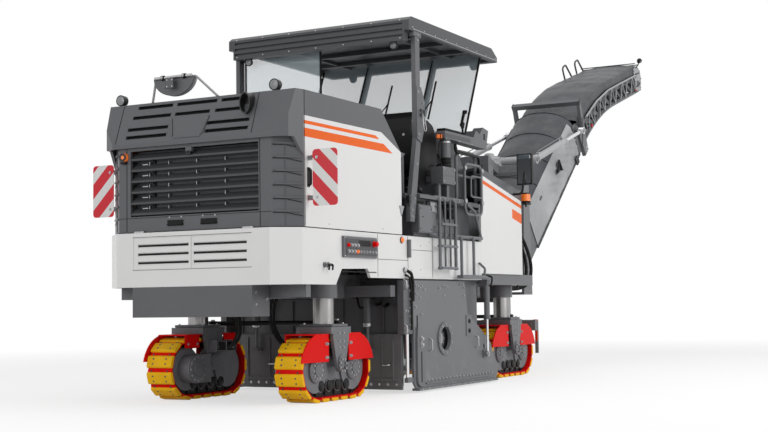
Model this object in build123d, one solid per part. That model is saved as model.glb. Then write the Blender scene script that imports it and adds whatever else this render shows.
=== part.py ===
from build123d import *
import math
import os

os.makedirs("parts", exist_ok=True)

# Cold planer milling machine on four crawler tracks, with a front discharge conveyor.
# Lengths are in millimetres. While it is drawn, x runs forward from the body's rear face,
# y runs to the left and z up from the ground. save() then moves the origin to the middle
# of the machine's length, on the ground.

# Body
body_half = 1110
wall = 30
rear_flat_half = 886
rear_chamfer = 200
skirt_bottom = 1127
skirt_top = 1650
skirt_step = 1200
front_body_start = 4200
front_body_end = 5750
front_corner_half = 900
front_body_bottom = 1280
front_body_top = 2530
front_body_nose_top = 2330
seam = 10

# Hood over the engine
hood_rear = 170
hood_front = 2180
hood_corner_x = 250
hood_top = 2930
hood_band_bottom = 2690
hood_front_cut = 430
hood_knuckle_r = 24.5
hood_pivot_x = hood_front + hood_knuckle_r + 0.5
hood_pivot_z = 2500
hood_middle_x = 40
cap_low = 2480
cap_corner_low = 2300
cap_slope_low = 2520
cap_slope_x = 150
cap_flat_half = 940
grille_half = 745
grille_bottom = 1810
grille_top = 2450
grille_blades = 6
plate_w = 265
plate_h = 525

# Chassis and columns
beam_inner = 450
beam_outer = 530
beam_bottom = 1000
beam_top = 1250
beam_front = 6350
front_member_top = 1060
bumper_half = 900
bumper_depth = 120
bumper_low = 560
bumper_high = 700
marker_w = 40
axle_rear = 1150
axle_front = 5570
track_y = 760
column_r = 105
sleeve_wall = 33
fit_gap = 0.5
lash_rear_x = 460
lash_front_x = 6150
lash_y = 490
lash_z = 950
lash_t = 30
lash_hole_r = 30

# Tracks
track_length = 1330
track_height = 620
track_width = 306
belt_thickness = 45
shoe_depth = 45
shoe_count = 19
pad_share = 0.66
motor_r = 142
motor_reach = 250
fork_top = 720
fender_gap = 22
fender_plate = 14
fork_bottom = track_height + fender_gap + fender_plate
fork_plate = 34
fork_side_gap = 12
steer_arm = 260
steer_arm_z = 705
steer_pin_r = 22
rod_r = 24

# Milling unit
drum_x = 3080
drum_z = 550
drum_tip_r = 430
drum_core_r = 305
drum_half = 985
drum_shaft_r = 90
tool_rows = 20
tools_per_row = 4
housing_rear = 2300
housing_front = 4100
housing_half = 1080
housing_top = 1120
side_plate_y = 1125
side_plate_t = 25
side_plate_bottom = 45
plate_rear = 2330
plate_rod_x = 2235
plate_rod_y = 1122
plate_rod_r = 18
column_low = 620
rod_top = 740
side_lift = 280
scraper_x = 2200
scraper_t = 45
scraper_top = 620
scraper_lift = 250
scraper_cyl_x = 2150
scraper_cyl_y = 700
scraper_lug_top = 470

# Operator's platform and canopy
deck_rear = 2260
deck_front = 4180
deck_z = 2100
deck_t = 50
ladder_rear = 2900
ladder_front = 3300
roof_rear = 2310
roof_front = 4650
roof_half = 1160
roof_bottom = 3850
roof_top = 4000
roof_pocket = 70
post_x = 2500
post_out = 1160
seat_x = 2860
seat_y = 740
arm_y = 1160
arm_rear = 3030
arm_z = 2760
screen_foot_x = 3850
screen_foot_z = 2880
screen_head_x = 4330
screen_t = 8
front_post_y = 450

# Discharge conveyor, drawn level and then tilted about its foot pivot
slew_x = 7000
foot_z = 1507
slope = 39.5
frame_half = 500
frame_t = 40
frame_below = 157
frame_above = 263
tail_u = -450
fold_u = 3100
fold_gap = 10
fold_v = -215
fold_pin_r = 30
fold_side_gap = 6
gantry_t = 45
gantry_u = 3310
gantry_v = 480
bend_angle = 22.5
bend_r = 4400
head_run = 1480
cover_rise = 330
cover_t = 12
side_cloth_u0 = 520
side_cloth_u1 = 2840
head_cap_r = 262
belt_half = 400
belt_t = 16
belt_v = 60
yoke_in = 515
yoke_t = 35
yoke_low = 1060
yoke_high = 2700
bracket_z = 2740
bracket_t = 120
lower_hub_z = 940
lower_hub_t = 95
hub_r = 130
pin_r = 60
cyl_x = 7200
cyl_z = 2930
cyl_y = 610
cyl_r = 48
cyl_rod_r = 28
cyl_barrel = 1250
cyl_rod_length = 1560
lug_u = fold_u - 142
lug_v = 209


def block(x0, x1, y0, y1, z0, z1):
    return Pos((x0 + x1) / 2, (y0 + y1) / 2, (z0 + z1) / 2) * Box(x1 - x0, y1 - y0, z1 - z0)


def outline(points):
    return make_face(Polyline(*points, close=True))


def side_form(points, y0, y1):
    """An outline of (x, z) points, drawn from y0 to y1."""
    return Pos(0, y1, 0) * extrude(Plane.XZ * outline(points), amount=y1 - y0)


def plan_form(points, z0, z1):
    """An outline of (x, y) points, drawn from z0 to z1."""
    return Pos(0, 0, z0) * extrude(outline(points), amount=z1 - z0)


def bar(start, end, radius):
    start = Vector(*start)
    end = Vector(*end)
    direction = end - start
    return Solid.make_cylinder(radius, direction.length, Plane(origin=start, z_dir=direction))


def pipe(points, radius, bend):
    path = FilletPolyline(*points, radius=bend)
    section = Plane(origin=path @ 0, z_dir=path % 0) * Circle(radius)
    return sweep(section, path=path)


def joined(pieces):
    result = pieces[0]
    for piece in pieces[1:]:
        result = result + piece
    return result


def both_sides(shape):
    return [shape, mirror(shape, about=Plane.XZ)]


def solids_of(pieces):
    found = []
    for piece in pieces:
        found.extend(piece.solids())
    return found


# The conveyor's head decides how long the machine is
bend_centre_v = -frame_below - bend_r
slope_rad = math.radians(slope)
bend_rad = math.radians(bend_angle)
head_u = fold_u + bend_r * math.sin(bend_rad) + head_run * math.cos(bend_rad)
head_v = bend_centre_v + bend_r * math.cos(bend_rad) - head_run * math.sin(bend_rad)
head_r = 215
head_x = slew_x + head_u * math.cos(slope_rad) - head_v * math.sin(slope_rad)
overall_length = head_x + head_r
middle_x = overall_length / 2


def save(name, *pieces):
    solids = [Pos(-middle_x, 0, 0) * solid for solid in solids_of(pieces)]
    whole = solids[0] if len(solids) == 1 else Compound(children=solids)
    export_step(whole, "parts/" + name + ".step")


# Lower body: skirts with a chamfered rear, open below and above
def plan_outline(inset, front):
    flat = rear_flat_half - inset * 0.4
    side = body_half - inset
    return [(inset, -flat), (rear_chamfer, -side), (front, -side),
            (front, side), (rear_chamfer, side), (inset, flat)]


skirt = plan_form(plan_outline(0, front_body_start), skirt_bottom, skirt_top)
skirt -= plan_form(plan_outline(wall, front_body_start + wall), skirt_bottom - wall, skirt_top + wall)
arch = [(780, skirt_bottom - wall), (920, 1280), (1430, 1290), (1490, skirt_step),
        (front_body_start + wall, skirt_step), (front_body_start + wall, skirt_bottom - wall)]
skirt -= side_form(arch, -body_half - wall, body_half + wall)
skirt -= block(-1, 9, -680, 680, 1300, 1600)
for y in (-330, 330):
    for z in (1350, 1432, 1514):
        skirt -= block(-1, wall + 1, y - 300, y + 300, z - 19, z + 19)
        skirt += side_form([(9, z - 22), (15, z - 22), (wall, z + 10), (wall, z + 22), (24, z + 22)], y - 302,
                           y + 302)
save("lower_body", skirt)

beam_end = 290
save("rear_beam",
     block(0, beam_end, -690, 690, 837, skirt_bottom) - block(40, beam_end + wall, -600, 600, 880, 1080))

# Front body: side walls and a sloping top over the conveyor's tunnel
nose_x = front_body_end - 300
front_profile = [(front_body_start, front_body_bottom), (front_body_end, front_body_bottom),
                 (front_body_end, front_body_nose_top - 160), (nose_x + 40, front_body_nose_top),
                 (front_body_start, front_body_top)]
front_plan = [(front_body_start, -body_half), (nose_x, -body_half), (front_body_end, -front_corner_half),
              (front_body_end, front_corner_half), (nose_x, body_half), (front_body_start, body_half)]
front_inner_plan = [(front_body_start - wall, -body_half + wall), (nose_x - wall * 0.4, -body_half + wall),
                    (front_body_end - wall, -front_corner_half + wall * 0.5),
                    (front_body_end - wall, front_corner_half - wall * 0.5),
                    (nose_x - wall * 0.4, body_half - wall), (front_body_start - wall, body_half - wall)]
front_inner = [(front_body_start - wall, front_body_bottom - wall),
               (front_body_end, front_body_bottom - wall),
               (front_body_end, front_body_nose_top - 190), (nose_x + 30, front_body_nose_top - wall),
               (front_body_start - wall, front_body_top - wall)]
front_outer = side_form(front_profile, -body_half, body_half) & plan_form(front_plan, 1000, 3000)
front_core = side_form(front_inner, -body_half, body_half) & plan_form(front_inner_plan, 1000, 3000)
tunnel = block(front_body_end - 2 * wall, front_body_end + wall, -480, 480, front_body_bottom - wall, 2150)
save("front_body", front_outer - front_core - tunnel)

# Chassis: two long beams, cross members, column sleeves and the slewing brackets
sleeve_r = column_r + fit_gap + sleeve_wall
chassis = []
for side in (-1, 1):
    low, high = sorted((side * beam_inner, side * beam_outer))
    chassis.append(block(beam_end, beam_front, low, high, beam_bottom, beam_top))
cross_members = [  # x from, x to, half width
    (beam_end + 20, beam_end + 100, body_half - wall),
    (1960, 2060, body_half - wall),
    (4120, 4190, body_half - wall),
]
for x0, x1, half in cross_members:
    chassis.append(block(x0, x1, -half, half, 1010, skirt_bottom))
chassis.append(block(beam_front - 80, beam_front, -beam_outer, beam_outer, 1010, front_member_top))
sleeves = [(axle_rear, 1600), (axle_front, 1900)]
for x, top in sleeves:
    for side in (-1, 1):
        near, far = sorted((side * (beam_outer - 20), side * track_y))
        chassis.append(block(x - 110, x + 110, near, far, 1000, skirt_bottom))
        chassis.append(bar((x, side * track_y, 1000), (x, side * track_y, top), sleeve_r))
for side in (-1, 1):
    low, high = sorted((side * beam_inner, side * beam_outer))
    chassis.append(block(front_body_end + seam, front_body_end + 160, low, high, beam_bottom, bracket_z + 1))
    low, high = sorted((side * (beam_outer - 10), side * (body_half - wall)))
    chassis.append(block(front_body_start + 100, front_body_end + 100, low, high, 1150, front_body_bottom))
    low, high = sorted((side * beam_inner, side * beam_outer))
    chassis.append(block(front_body_start + 100, front_body_end + 100, low, high, beam_top - 5,
                         front_body_bottom))
for x in (2400, 3900):
    for side in (-1, 1):
        low, high = sorted((side * beam_inner, side * beam_outer))
        chassis.append(block(x, x + 100, low, high, beam_top - 5, skirt_top + seam))
bracket_plan = [(front_body_end + seam, -beam_outer), (slew_x, -hub_r), (slew_x, hub_r),
                (front_body_end + seam, beam_outer)]
chassis.append(plan_form(bracket_plan, bracket_z, bracket_z + bracket_t))
chassis.append(bar((slew_x, 0, bracket_z), (slew_x, 0, bracket_z + bracket_t), hub_r))
lower_plan = [(beam_front - 80, -beam_inner + 10), (slew_x, -hub_r), (slew_x, hub_r),
              (beam_front - 80, beam_inner - 10)]
chassis.append(plan_form(lower_plan, lower_hub_z, lower_hub_z + lower_hub_t))
chassis.append(bar((slew_x, 0, lower_hub_z), (slew_x, 0, lower_hub_z + lower_hub_t), hub_r))
for x in (lash_rear_x, lash_front_x):
    for side in (-1, 1):
        low, high = sorted((side * (lash_y - lash_t / 2), side * (lash_y + lash_t / 2)))
        ear = side_form([(x - 80, beam_bottom + 1), (x - 45, lash_z - 45), (x + 45, lash_z - 45),
                         (x + 80, beam_bottom + 1)], low, high)
        chassis.append(ear)
frame_solid = joined(chassis)
for x in (lash_rear_x, lash_front_x):
    frame_solid -= bar((x, -lash_y - lash_t, lash_z), (x, lash_y + lash_t, lash_z), lash_hole_r)
for x, top in sleeves:
    for side in (-1, 1):
        frame_solid -= bar((x, side * track_y, 990), (x, side * track_y, top - 40), column_r + fit_gap)
for z0 in (lower_hub_z, bracket_z):
    frame_solid -= bar((slew_x, 0, z0 - wall), (slew_x, 0, z0 + bracket_t + wall), pin_r + fit_gap)
save("chassis_frame", frame_solid)

# Engine and cooler, one block each where they stand
engine = block(560, 1950, -420, 420, skirt_bottom, 2350)
cooler = block(330, 520, -700, 700, beam_top, 2560)
link = block(520, 560, -300, 300, 1400, 2000)
save("engine_and_cooler", engine + cooler + link)


# Hood: white sides, dark cowl with an overhanging cap, louvred rear, all tilting together
hood_low = skirt_top + seam
cowl_front = hood_front - hood_front_cut
slant_z = hood_top - hood_front_cut * 0.95
side_outline = [(hood_corner_x, hood_low), (hood_front, hood_low), (hood_front, slant_z),
                (cowl_front, hood_band_bottom), (hood_corner_x, hood_band_bottom)]
save("hood_sides", *both_sides(side_form(side_outline, body_half - wall, body_half)))

band_outline = [(hood_corner_x, hood_band_bottom), (cowl_front, hood_band_bottom), (hood_front, slant_z),
                (cowl_front, hood_top), (hood_corner_x, hood_top)]
cowl = both_sides(side_form(band_outline, body_half - wall, body_half))
cowl.append(block(hood_rear, cowl_front, -body_half + wall, body_half - wall, hood_top - wall, hood_top))
front_slope = [(cowl_front, hood_top), (hood_front, slant_z), (hood_front - wall, slant_z - 15),
               (cowl_front - wall, hood_top - wall)]
cowl.append(side_form(front_slope, -body_half + wall, body_half - wall))


def middle_plan(inset):
    flat = rear_flat_half - inset * 0.4
    side = body_half - inset
    front = hood_corner_x + (1 if inset else 0)
    rear = hood_middle_x + inset
    return [(rear, -flat), (front, -side), (front, side), (rear, flat)]


def cap_plan(inset):
    flat = cap_flat_half - inset * 0.4
    side = body_half - inset
    front = hood_corner_x + (1 if inset else 0)
    return [(inset, -flat), (60 + inset * 0.7, -side + 50), (front, -side),
            (front, side), (60 + inset * 0.7, side - 50), (inset, flat)]


middle = plan_form(middle_plan(0), hood_low, cap_low + 10)
middle -= plan_form(middle_plan(wall), hood_low - 1, cap_low + 20)
middle -= block(0, hood_corner_x, -grille_half, grille_half, grille_bottom, grille_top)
for y in (-190, 200):
    middle -= Pos(hood_middle_x - 5, y, 1735) * extrude(Plane.YZ * SlotOverall(180, 46), amount=20)

cap_outline = [(0, cap_low), (130, cap_low), (hood_corner_x, cap_corner_low), (hood_corner_x, hood_top),
               (cap_slope_x, hood_top), (0, cap_slope_low)]
cap_inner = [(wall, cap_low - 200), (hood_corner_x + 1, cap_low - 200), (hood_corner_x + 1, hood_top - wall),
             (cap_slope_x + 20, hood_top - wall), (wall, cap_slope_low + 5)]
cap_outer = side_form(cap_outline, -body_half, body_half) & plan_form(cap_plan(0), 2000, 3000)
cap = cap_outer - (side_form(cap_inner, -body_half, body_half) & plan_form(cap_plan(wall), 2000, 3000))
cap += block(5, hood_middle_x + 25, -rear_flat_half, rear_flat_half, cap_low, cap_low + 20)
cap_slots = [  # z of the slot's middle, y from, y to
    (2885, 300, 720), (2885, -220, 250), (2885, -510, -270),
    (2785, 300, 760), (2785, -160, 250), (2785, -510, -220),
    (2665, 300, 790), (2665, -640, -150), (2585, 300, 790), (2585, -640, -150),
]
for z, y0, y1 in cap_slots:
    cap -= block(-wall, hood_rear + 40, y0, y1, z - 17, z + 17)
rib_turn = math.degrees(math.atan2(body_half - rear_flat_half, hood_corner_x - hood_middle_x))
ribs = []
for index in range(6):
    place = Pos((hood_middle_x + hood_corner_x) / 2, -(rear_flat_half + body_half) / 2, 1800 + 125 * index)
    ribs.extend(both_sides(place * Rot(0, 0, -rib_turn) * Box(240, 26, 16)))
save("hood_cowl", joined([middle, cap] + cowl + ribs))

blade_pitch = (grille_top - grille_bottom) / grille_blades
blade_x = hood_middle_x + 6
blades = []
for index in range(grille_blades):
    z = grille_bottom + blade_pitch * (index + 0.5)
    profile = [(0, z - 38), (18, z - 42), (90, z + 20), (90, z + 34), (74, z + 34), (0, z - 20)]
    blades.append(side_form([(blade_x + x, height) for x, height in profile], -grille_half, grille_half))
back_plate = block(blade_x + 90, blade_x + 114, -grille_half, grille_half, grille_bottom, grille_top)
save("hood_grille", joined([back_plate] + blades))

plates = []
for side in (-1, 1):
    y0, y1 = sorted((side * 1170, side * (1170 + plate_w)))
    sign = block(296, 304, y0, y1, 1846, 1846 + plate_h)
    arm = block(304, 330, *sorted((side * body_half, side * 1240)), 1900, 1950)
    arm_high = block(304, 330, *sorted((side * body_half, side * 1240)), 2270, 2320)
    plates.append(joined([sign, arm, arm_high]))
save("warning_plates", *plates)

fittings = []
for y in (960, -850):
    fittings.append(bar((cap_slope_x + 60, y, hood_top + 55), (cap_slope_x, y, hood_top + 55), 52)
                    + block(cap_slope_x + 20, cap_slope_x + 60, y - 12, y + 12, hood_top, hood_top + 30))
mirror_z = hood_top + 270
mirror_y = 465
bowl = Pos(360, mirror_y, mirror_z) * extrude(Plane.YZ * Ellipse(245, 180), amount=60)
bowl -= block(300, 500, mirror_y - 300, mirror_y + 300, mirror_z, mirror_z + 200)
bowl -= Pos(380, mirror_y, mirror_z) * extrude(Plane.YZ * Ellipse(225, 160), amount=60)
stays = pipe([(390, mirror_y + 290, hood_top), (390, mirror_y + 240, mirror_z),
              (390, mirror_y - 250, mirror_z),
              (390, -100, hood_top)], 12, 40)
fittings.append(bowl + stays - block(200, 600, -300, 900, hood_top - 100, hood_top))
exhaust = Pos(30, -600, 2820) * extrude(Plane.YZ * Ellipse(60, 100), amount=150)
exhaust -= Pos(20, -600, 2820) * extrude(Plane.YZ * Ellipse(50, 88), amount=90)
fittings.append(exhaust - side_form([(0, cap_slope_low), (cap_slope_x, hood_top), (500, hood_top),
                                     (500, cap_low)], -700, -500))
fittings.append(bar((1, 815, 2395), (hood_middle_x, 815, 2395), 42))
save("hood_fittings", *fittings)

# Milling unit: housing, drum, side plates and scraper
housing_wall = 30
roof_plate = block(housing_rear, housing_front, -housing_half, housing_half, housing_top, skirt_step - 5)
roof_plate -= block(housing_rear - wall, housing_front + wall, -beam_outer, beam_outer,
                    housing_top - wall, skirt_step + wall)
middle_plate = block(housing_rear, housing_front, -beam_inner, beam_inner, housing_top, skirt_step - 5)
cheek = block(housing_rear, housing_front, housing_half - housing_wall, housing_half, 360, skirt_step - 5)
cheek += bar((drum_x, housing_half - housing_wall - 40, drum_z), (drum_x, housing_half, drum_z), 170)
cheek -= bar((drum_x, housing_half - housing_wall - 50, drum_z), (drum_x, housing_half - 12, drum_z),
             drum_shaft_r + fit_gap)
cheeks = both_sides(cheek)
rear_wall = block(housing_rear, housing_rear + housing_wall, -housing_half, housing_half, 560, beam_bottom)
rear_top = []
for low, high in ((-housing_half, -beam_outer), (-beam_inner, beam_inner), (beam_outer, housing_half)):
    rear_top.append(block(housing_rear, housing_rear + housing_wall, low, high, beam_bottom, housing_top))
front_wall = block(housing_front - housing_wall, housing_front, -housing_half, housing_half, 360, beam_bottom)
front_wall -= block(housing_front - 2 * wall, housing_front + wall, -430, 430, 340, 900)
front_top = []
for low, high in ((-housing_half, -beam_outer), (-beam_inner, beam_inner), (beam_outer, housing_half)):
    front_top.append(block(housing_front - housing_wall, housing_front, low, high, beam_bottom, housing_top))
guides = []
for side in (-1, 1):
    for x in (2380, 3640):
        low, high = sorted((side * housing_half, side * (side_plate_y - fit_gap)))
        guides.append(block(x, x + 60, low, high, 520, housing_top))
    low, high = sorted((side * (plate_rod_y - 42), side * (plate_rod_y + 30)))
    column = block(2110, plate_rear - 25, low, high, column_low, 1180)
    column += block(2200, 2370, *sorted((side * (housing_half - 5), side * (side_plate_y - 20))), 700,
                    housing_top)
    column -= bar((plate_rod_x, side * plate_rod_y, column_low - 1),
                  (plate_rod_x, side * plate_rod_y, rod_top + side_lift + 20),
                  plate_rod_r + fit_gap)
    guides.append(column)
barrels_low = scraper_lug_top + scraper_lift + 10
for side in (-1, 1):
    y = side * scraper_cyl_y
    barrel = bar((scraper_cyl_x, y, barrels_low), (scraper_cyl_x, y, beam_bottom), 42)
    barrel += block(scraper_cyl_x, housing_rear + 5, y - 30, y + 30, beam_bottom - 60, beam_bottom - 10)
    barrel -= bar((scraper_cyl_x, y, barrels_low - 10), (scraper_cyl_x, y, beam_bottom + 10), 18 + fit_gap)
    guides.append(barrel)
save("drum_housing",
     joined([rear_wall, roof_plate, middle_plate, front_wall] + cheeks + rear_top + front_top + guides))

core = bar((drum_x, -drum_half, drum_z), (drum_x, drum_half, drum_z), drum_core_r)
core += bar((drum_x, -housing_half + 15, drum_z), (drum_x, housing_half - 15, drum_z), drum_shaft_r)
tools = []
row_pitch = 2 * (drum_half - 40) / tool_rows
for row in range(tool_rows):
    y = -drum_half + 40 + row_pitch * (row + 0.5)
    for start in range(tools_per_row):
        turn = 360 / tools_per_row * start + 27 * row
        lug = [(-50, drum_core_r - 12), (45, drum_core_r - 12), (62, drum_core_r + 60),
               (78, drum_tip_r - 8), (30, drum_core_r + 88), (-20, drum_core_r + 70)]
        form = side_form(lug, -26, 26)
        tools.append(Pos(drum_x, y, drum_z) * Rot(0, turn, 0) * form)
save("milling_drum", core.fuse(*solids_of(tools)))

plate_outline = [(2390, side_plate_bottom), (4460, side_plate_bottom),
                 (4520, side_plate_bottom + 60), (4520, 180), (4300, 480), (4070, 620), (3690, 820),
                 (3620, 1180),
                 (plate_rear, 1180), (plate_rear, side_plate_bottom + 60)]
for name, side in (("side_plate_right", -1), ("side_plate_left", 1)):
    y0, y1 = sorted((side * side_plate_y, side * (side_plate_y + side_plate_t)))
    plate = side_form(plate_outline, y0, y1)
    plate -= bar((drum_x, y0 - 10, drum_z), (drum_x, y1 + 10, drum_z), 130)
    ring = bar((drum_x, side * (side_plate_y + side_plate_t), drum_z),
               (drum_x, side * (side_plate_y + side_plate_t + 14), drum_z), 180)
    ring -= bar((drum_x, side * (side_plate_y - 10), drum_z), (drum_x, side * (side_plate_y + 60), drum_z),
                130)
    skid = block(2390, 4460, *sorted((side * (side_plate_y - 30), side * (side_plate_y + side_plate_t + 30))),
                 side_plate_bottom - 25, side_plate_bottom)
    rod_y = side * plate_rod_y
    lug = block(plate_rod_x - 35, plate_rear + 5,
                *sorted((side * (plate_rod_y - 20), side * (plate_rod_y + 22))),
                side_plate_bottom + 70, side_plate_bottom + 120)
    lift_rod = bar((plate_rod_x, rod_y, side_plate_bottom + 90), (plate_rod_x, rod_y, rod_top), plate_rod_r)
    for x, z, height in ((2420, 750, 130), (2420, 560, 60), (4130, 430, 60)):
        plate -= Pos(x, y0 - 10, z) * Rot(-90, 0, 0) * extrude(SlotOverall(height, 34, rotation=90),
                                                               amount=60)
    save(name, joined([plate, ring, skid, lug, lift_rod]))

blade = block(scraper_x, scraper_x + scraper_t, -housing_half + 10, housing_half - 10, 75, scraper_top)
edge = block(scraper_x + 8, scraper_x + scraper_t - 8, -housing_half + 10, housing_half - 10, 40, 75)
scraper = [blade, edge]
for y in (-scraper_cyl_y, scraper_cyl_y):
    scraper.append(block(scraper_cyl_x - 35, scraper_x + 5, y - 40, y + 40, scraper_lug_top - 30,
                         scraper_lug_top))
    scraper.append(bar((scraper_cyl_x, y, scraper_lug_top - 5), (scraper_cyl_x, y, beam_bottom - 20), 18))
save("scraper_blade", joined(scraper))

# Primary conveyor, from the drum's front up to the front body's mouth
primary_angle = 30.8
primary_length = 2690
primary = block(0, primary_length, -420, 420, -190, 190) - block(-10, primary_length + 10, -390, 390, -150,
                                                                 150)
primary += block(30, primary_length - 30, -370, 370, -40, 40)
primary += block(100, 160, -395, 395, -30, 30) + block(1400, 1460, -395, 395, -30, 30)
primary += block(2560, 2620, -395, 395, -30, 30)
for side in (-1, 1):
    low, high = sorted((side * 415, side * beam_inner))
    primary += block(900, 980, low, high, -60, 60)
primary_place = Pos(4010, 0, 620) * Rot(0, -primary_angle, 0)
save("primary_conveyor", primary_place * primary)

# Platform: tanks below, deck, dark side lockers, with boxes hung on them and footboards above
def platform_boxes():
    found = []
    side_boxes = [  # x from, x to, depth outwards, z from, z to
        (2430, 2760, 70, 1690, 1990),
        (2758, 2870, 55, 1760, 1930),
        (2450, 2860, 80, 2060, deck_z),
    ]
    for side in (-1, 1):
        for x0, x1, depth, z0, z1 in side_boxes:
            low, high = sorted((side * (body_half - 15), side * (body_half + depth)))
            found.append(block(x0, x1, low, high, z0, z1))
    return found


base = block(deck_rear, deck_front, -960, 960, skirt_top + seam, deck_z - deck_t)
lockers = both_sides(block(deck_rear + 200, ladder_rear, 960, body_half - 10, skirt_top + seam,
                           deck_z - deck_t))
deck = block(deck_rear, deck_front, -body_half, body_half, deck_z - deck_t, deck_z)
for side in (-1, 1):
    low, high = sorted((side * 970, side * (body_half + 10)))
    deck -= block(ladder_rear + 40, ladder_front - 40, low, high, deck_z - 2 * deck_t, deck_z + 10)
bulkhead = block(deck_rear, deck_rear + 40, -body_half + wall, body_half - wall, deck_z, hood_pivot_z + 30)
knuckles = []
for side in (-1, 1):
    low, high = sorted((side * 960, side * body_half))
    knuckles.append(bar((hood_pivot_x, low, hood_pivot_z), (hood_pivot_x, high, hood_pivot_z),
                        hood_knuckle_r))
    low, high = sorted((side * 960, side * (body_half - wall - 5)))
    knuckles.append(block(hood_pivot_x, deck_rear + 5, low, high, hood_pivot_z - 15, hood_pivot_z + 15))
save("platform_deck", joined([base, deck, bulkhead] + lockers + knuckles + platform_boxes()))

# Operator's station: front console, seat stands, arm consoles
dash = side_form([(3700, deck_z), (4170, deck_z), (4170, 2520), (3960, screen_foot_z),
                  (3790, screen_foot_z), (3700, 2600)],
                 -900, 900)
stands = []
for side in (-1, 1):
    y = side * seat_y
    stand = block(seat_x, seat_x + 400, y - 170, y + 170, deck_z, deck_z + 60)
    stand += block(seat_x + 80, seat_x + 320, y - 110, y + 110, deck_z + 60, 2420)
    arm = [(arm_rear, arm_z), (arm_rear + 760, arm_z - 20), (arm_rear + 1110, arm_z - 25),
           (arm_rear + 1180, arm_z + 200), (arm_rear + 1030, arm_z + 225), (arm_rear + 930, arm_z + 140),
           (arm_rear + 820, arm_z + 165), (arm_rear + 760, arm_z + 80), (arm_rear, arm_z + 80)]
    console = side_form(arm, *sorted((side * (arm_y - 60), side * (arm_y + 60))))
    console += bar((arm_rear + 130, side * arm_y, 2430), (arm_rear + 130, side * arm_y, arm_z + 10), 52)
    console += block(arm_rear - 60, arm_rear + 250, *sorted((side * (arm_y - 90), side * (arm_y + 55))), 2250,
                     2440)
    shelf = block(arm_rear - 20, arm_rear + 110, *sorted((side * (seat_y + 60), side * (arm_y - 60))), 2280,
                  2340)
    stands.append(joined([stand, console, shelf]))
save("operator_station", dash, *stands)

seats = []
for side in (-1, 1):
    y = side * seat_y
    cushion = block(seat_x - 20, seat_x + 540, y - 225, y + 225, 2420, 2560)
    back = [(seat_x - 160, 2430), (seat_x, 2430), (seat_x, 2600), (seat_x - 30, 2950), (seat_x - 70, 3010),
            (seat_x - 130, 2990), (seat_x - 175, 2850)]
    seats.append(cushion + side_form(back, y - 240, y + 240))
save("seat_cushions", *seats)

# Rails and ladders
ladder_y = body_half + 90
rails = []
for side in (-1, 1):
    y = side * ladder_y
    steps = []
    for x in (ladder_rear, ladder_front):
        steps.append(pipe([(x, y, 1300), (x, y, deck_z - deck_t / 2),
                           (x, side * body_half, deck_z - deck_t / 2)], 18, 40))
    for z in (1320, 1560, 1800):
        steps.append(block(ladder_rear, ladder_front, y - 30, y + 30, z - 12, z + 12))
    rail_y = side * (body_half - 40)
    hoop = pipe([(3620, rail_y, deck_z), (3620, rail_y, 2680), (4140, rail_y, 2680), (4140, rail_y, deck_z)],
                20, 90)
    hoop += bar((3620, rail_y, 2400), (4140, rail_y, 2400), 15)
    rails.append(joined(steps))
    rails.append(hoop)
save("rails_and_ladder", *rails)

control = block(930, 1580, -body_half - 22, -body_half, 1400, 1590)
save("control_box", control)

# Mirror and beacon at the front right, and the front marker bracket
stalk = pipe([(5200, -body_half, 2280), (5200, -body_half - 120, 2280), (5300, -body_half - 120, 2600)], 14,
             50)
glass_case = block(5280, 5330, -1330, -1130, 2400, 2790)
beacon = bar((5545, -1135, 2190), (5545, -1135, 2320), 55)
beacon_shelf = block(5450, 5600, -1180, -1000, 2170, 2192) - front_outer
save("front_mirror_and_beacon", stalk + glass_case, beacon + beacon_shelf)

bumper = block(beam_front, beam_front + bumper_depth, -bumper_half, bumper_half, bumper_low, bumper_high)
for y0, y1 in ((-beam_outer, -beam_inner), (beam_inner, beam_outer)):
    bumper += block(beam_front, beam_front + bumper_depth / 2, y0, y1, bumper_high - 10, beam_top - 30)
for y in (-bumper_half, bumper_half - marker_w):
    bumper += block(beam_front + bumper_depth - 30, beam_front + bumper_depth, y, y + marker_w, 260,
                    bumper_high)
save("front_bracket", bumper)

# Canopy
roof = side_form([(roof_rear, roof_bottom), (roof_front, roof_bottom), (roof_front, roof_bottom + 60),
                  (roof_front - 160, roof_top), (roof_rear + 60, roof_top), (roof_rear, roof_top - 40)],
                 -roof_half, roof_half)
roof -= block(roof_rear + 90, roof_front - 90, -roof_half + 60, roof_half - 60, roof_bottom - 10,
              roof_bottom + roof_pocket)
roof += block(roof_rear, roof_rear + 90, -body_half + 10, body_half - 10, roof_bottom - 110, roof_bottom + 10)
for z in (roof_bottom - 55, roof_bottom + 5, roof_bottom + 70):
    roof -= block(roof_rear - 1, roof_rear + 25, -body_half + 30, body_half - 30, z - 12, z + 12)
save("canopy_roof", roof)

pocket_z = roof_bottom + roof_pocket
posts = []
for side in (-1, 1):
    y0, y1 = sorted((side * body_half, side * post_out))
    rear_profile = [(2280, 1800), (2380, 1800), (post_x + 50, 2680), (post_x + 50, roof_bottom),
                    (post_x - 50, roof_bottom), (post_x - 50, 2700), (2280, 1950)]
    posts.append(side_form(rear_profile, y0, y1))
    lean = side_form([(screen_foot_x, screen_foot_z), (screen_foot_x + 70, screen_foot_z),
                      (screen_head_x + 90, pocket_z), (screen_head_x + 20, pocket_z)],
                     side * front_post_y - 30, side * front_post_y + 30)
    posts.append(lean)
save("canopy_posts", *posts)

screen = side_form([(screen_foot_x - 20, screen_foot_z), (screen_foot_x - 20 + screen_t, screen_foot_z),
                    (screen_head_x + screen_t, pocket_z), (screen_head_x, pocket_z)], -1090, 1090)
rear_pane = block(post_x - 4, post_x + 4, 50, 1060, 2980, pocket_z)
save("canopy_glass", screen, rear_pane)


# Tracks and their carriers
end_r = track_height / 2
straight = track_length - track_height


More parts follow.
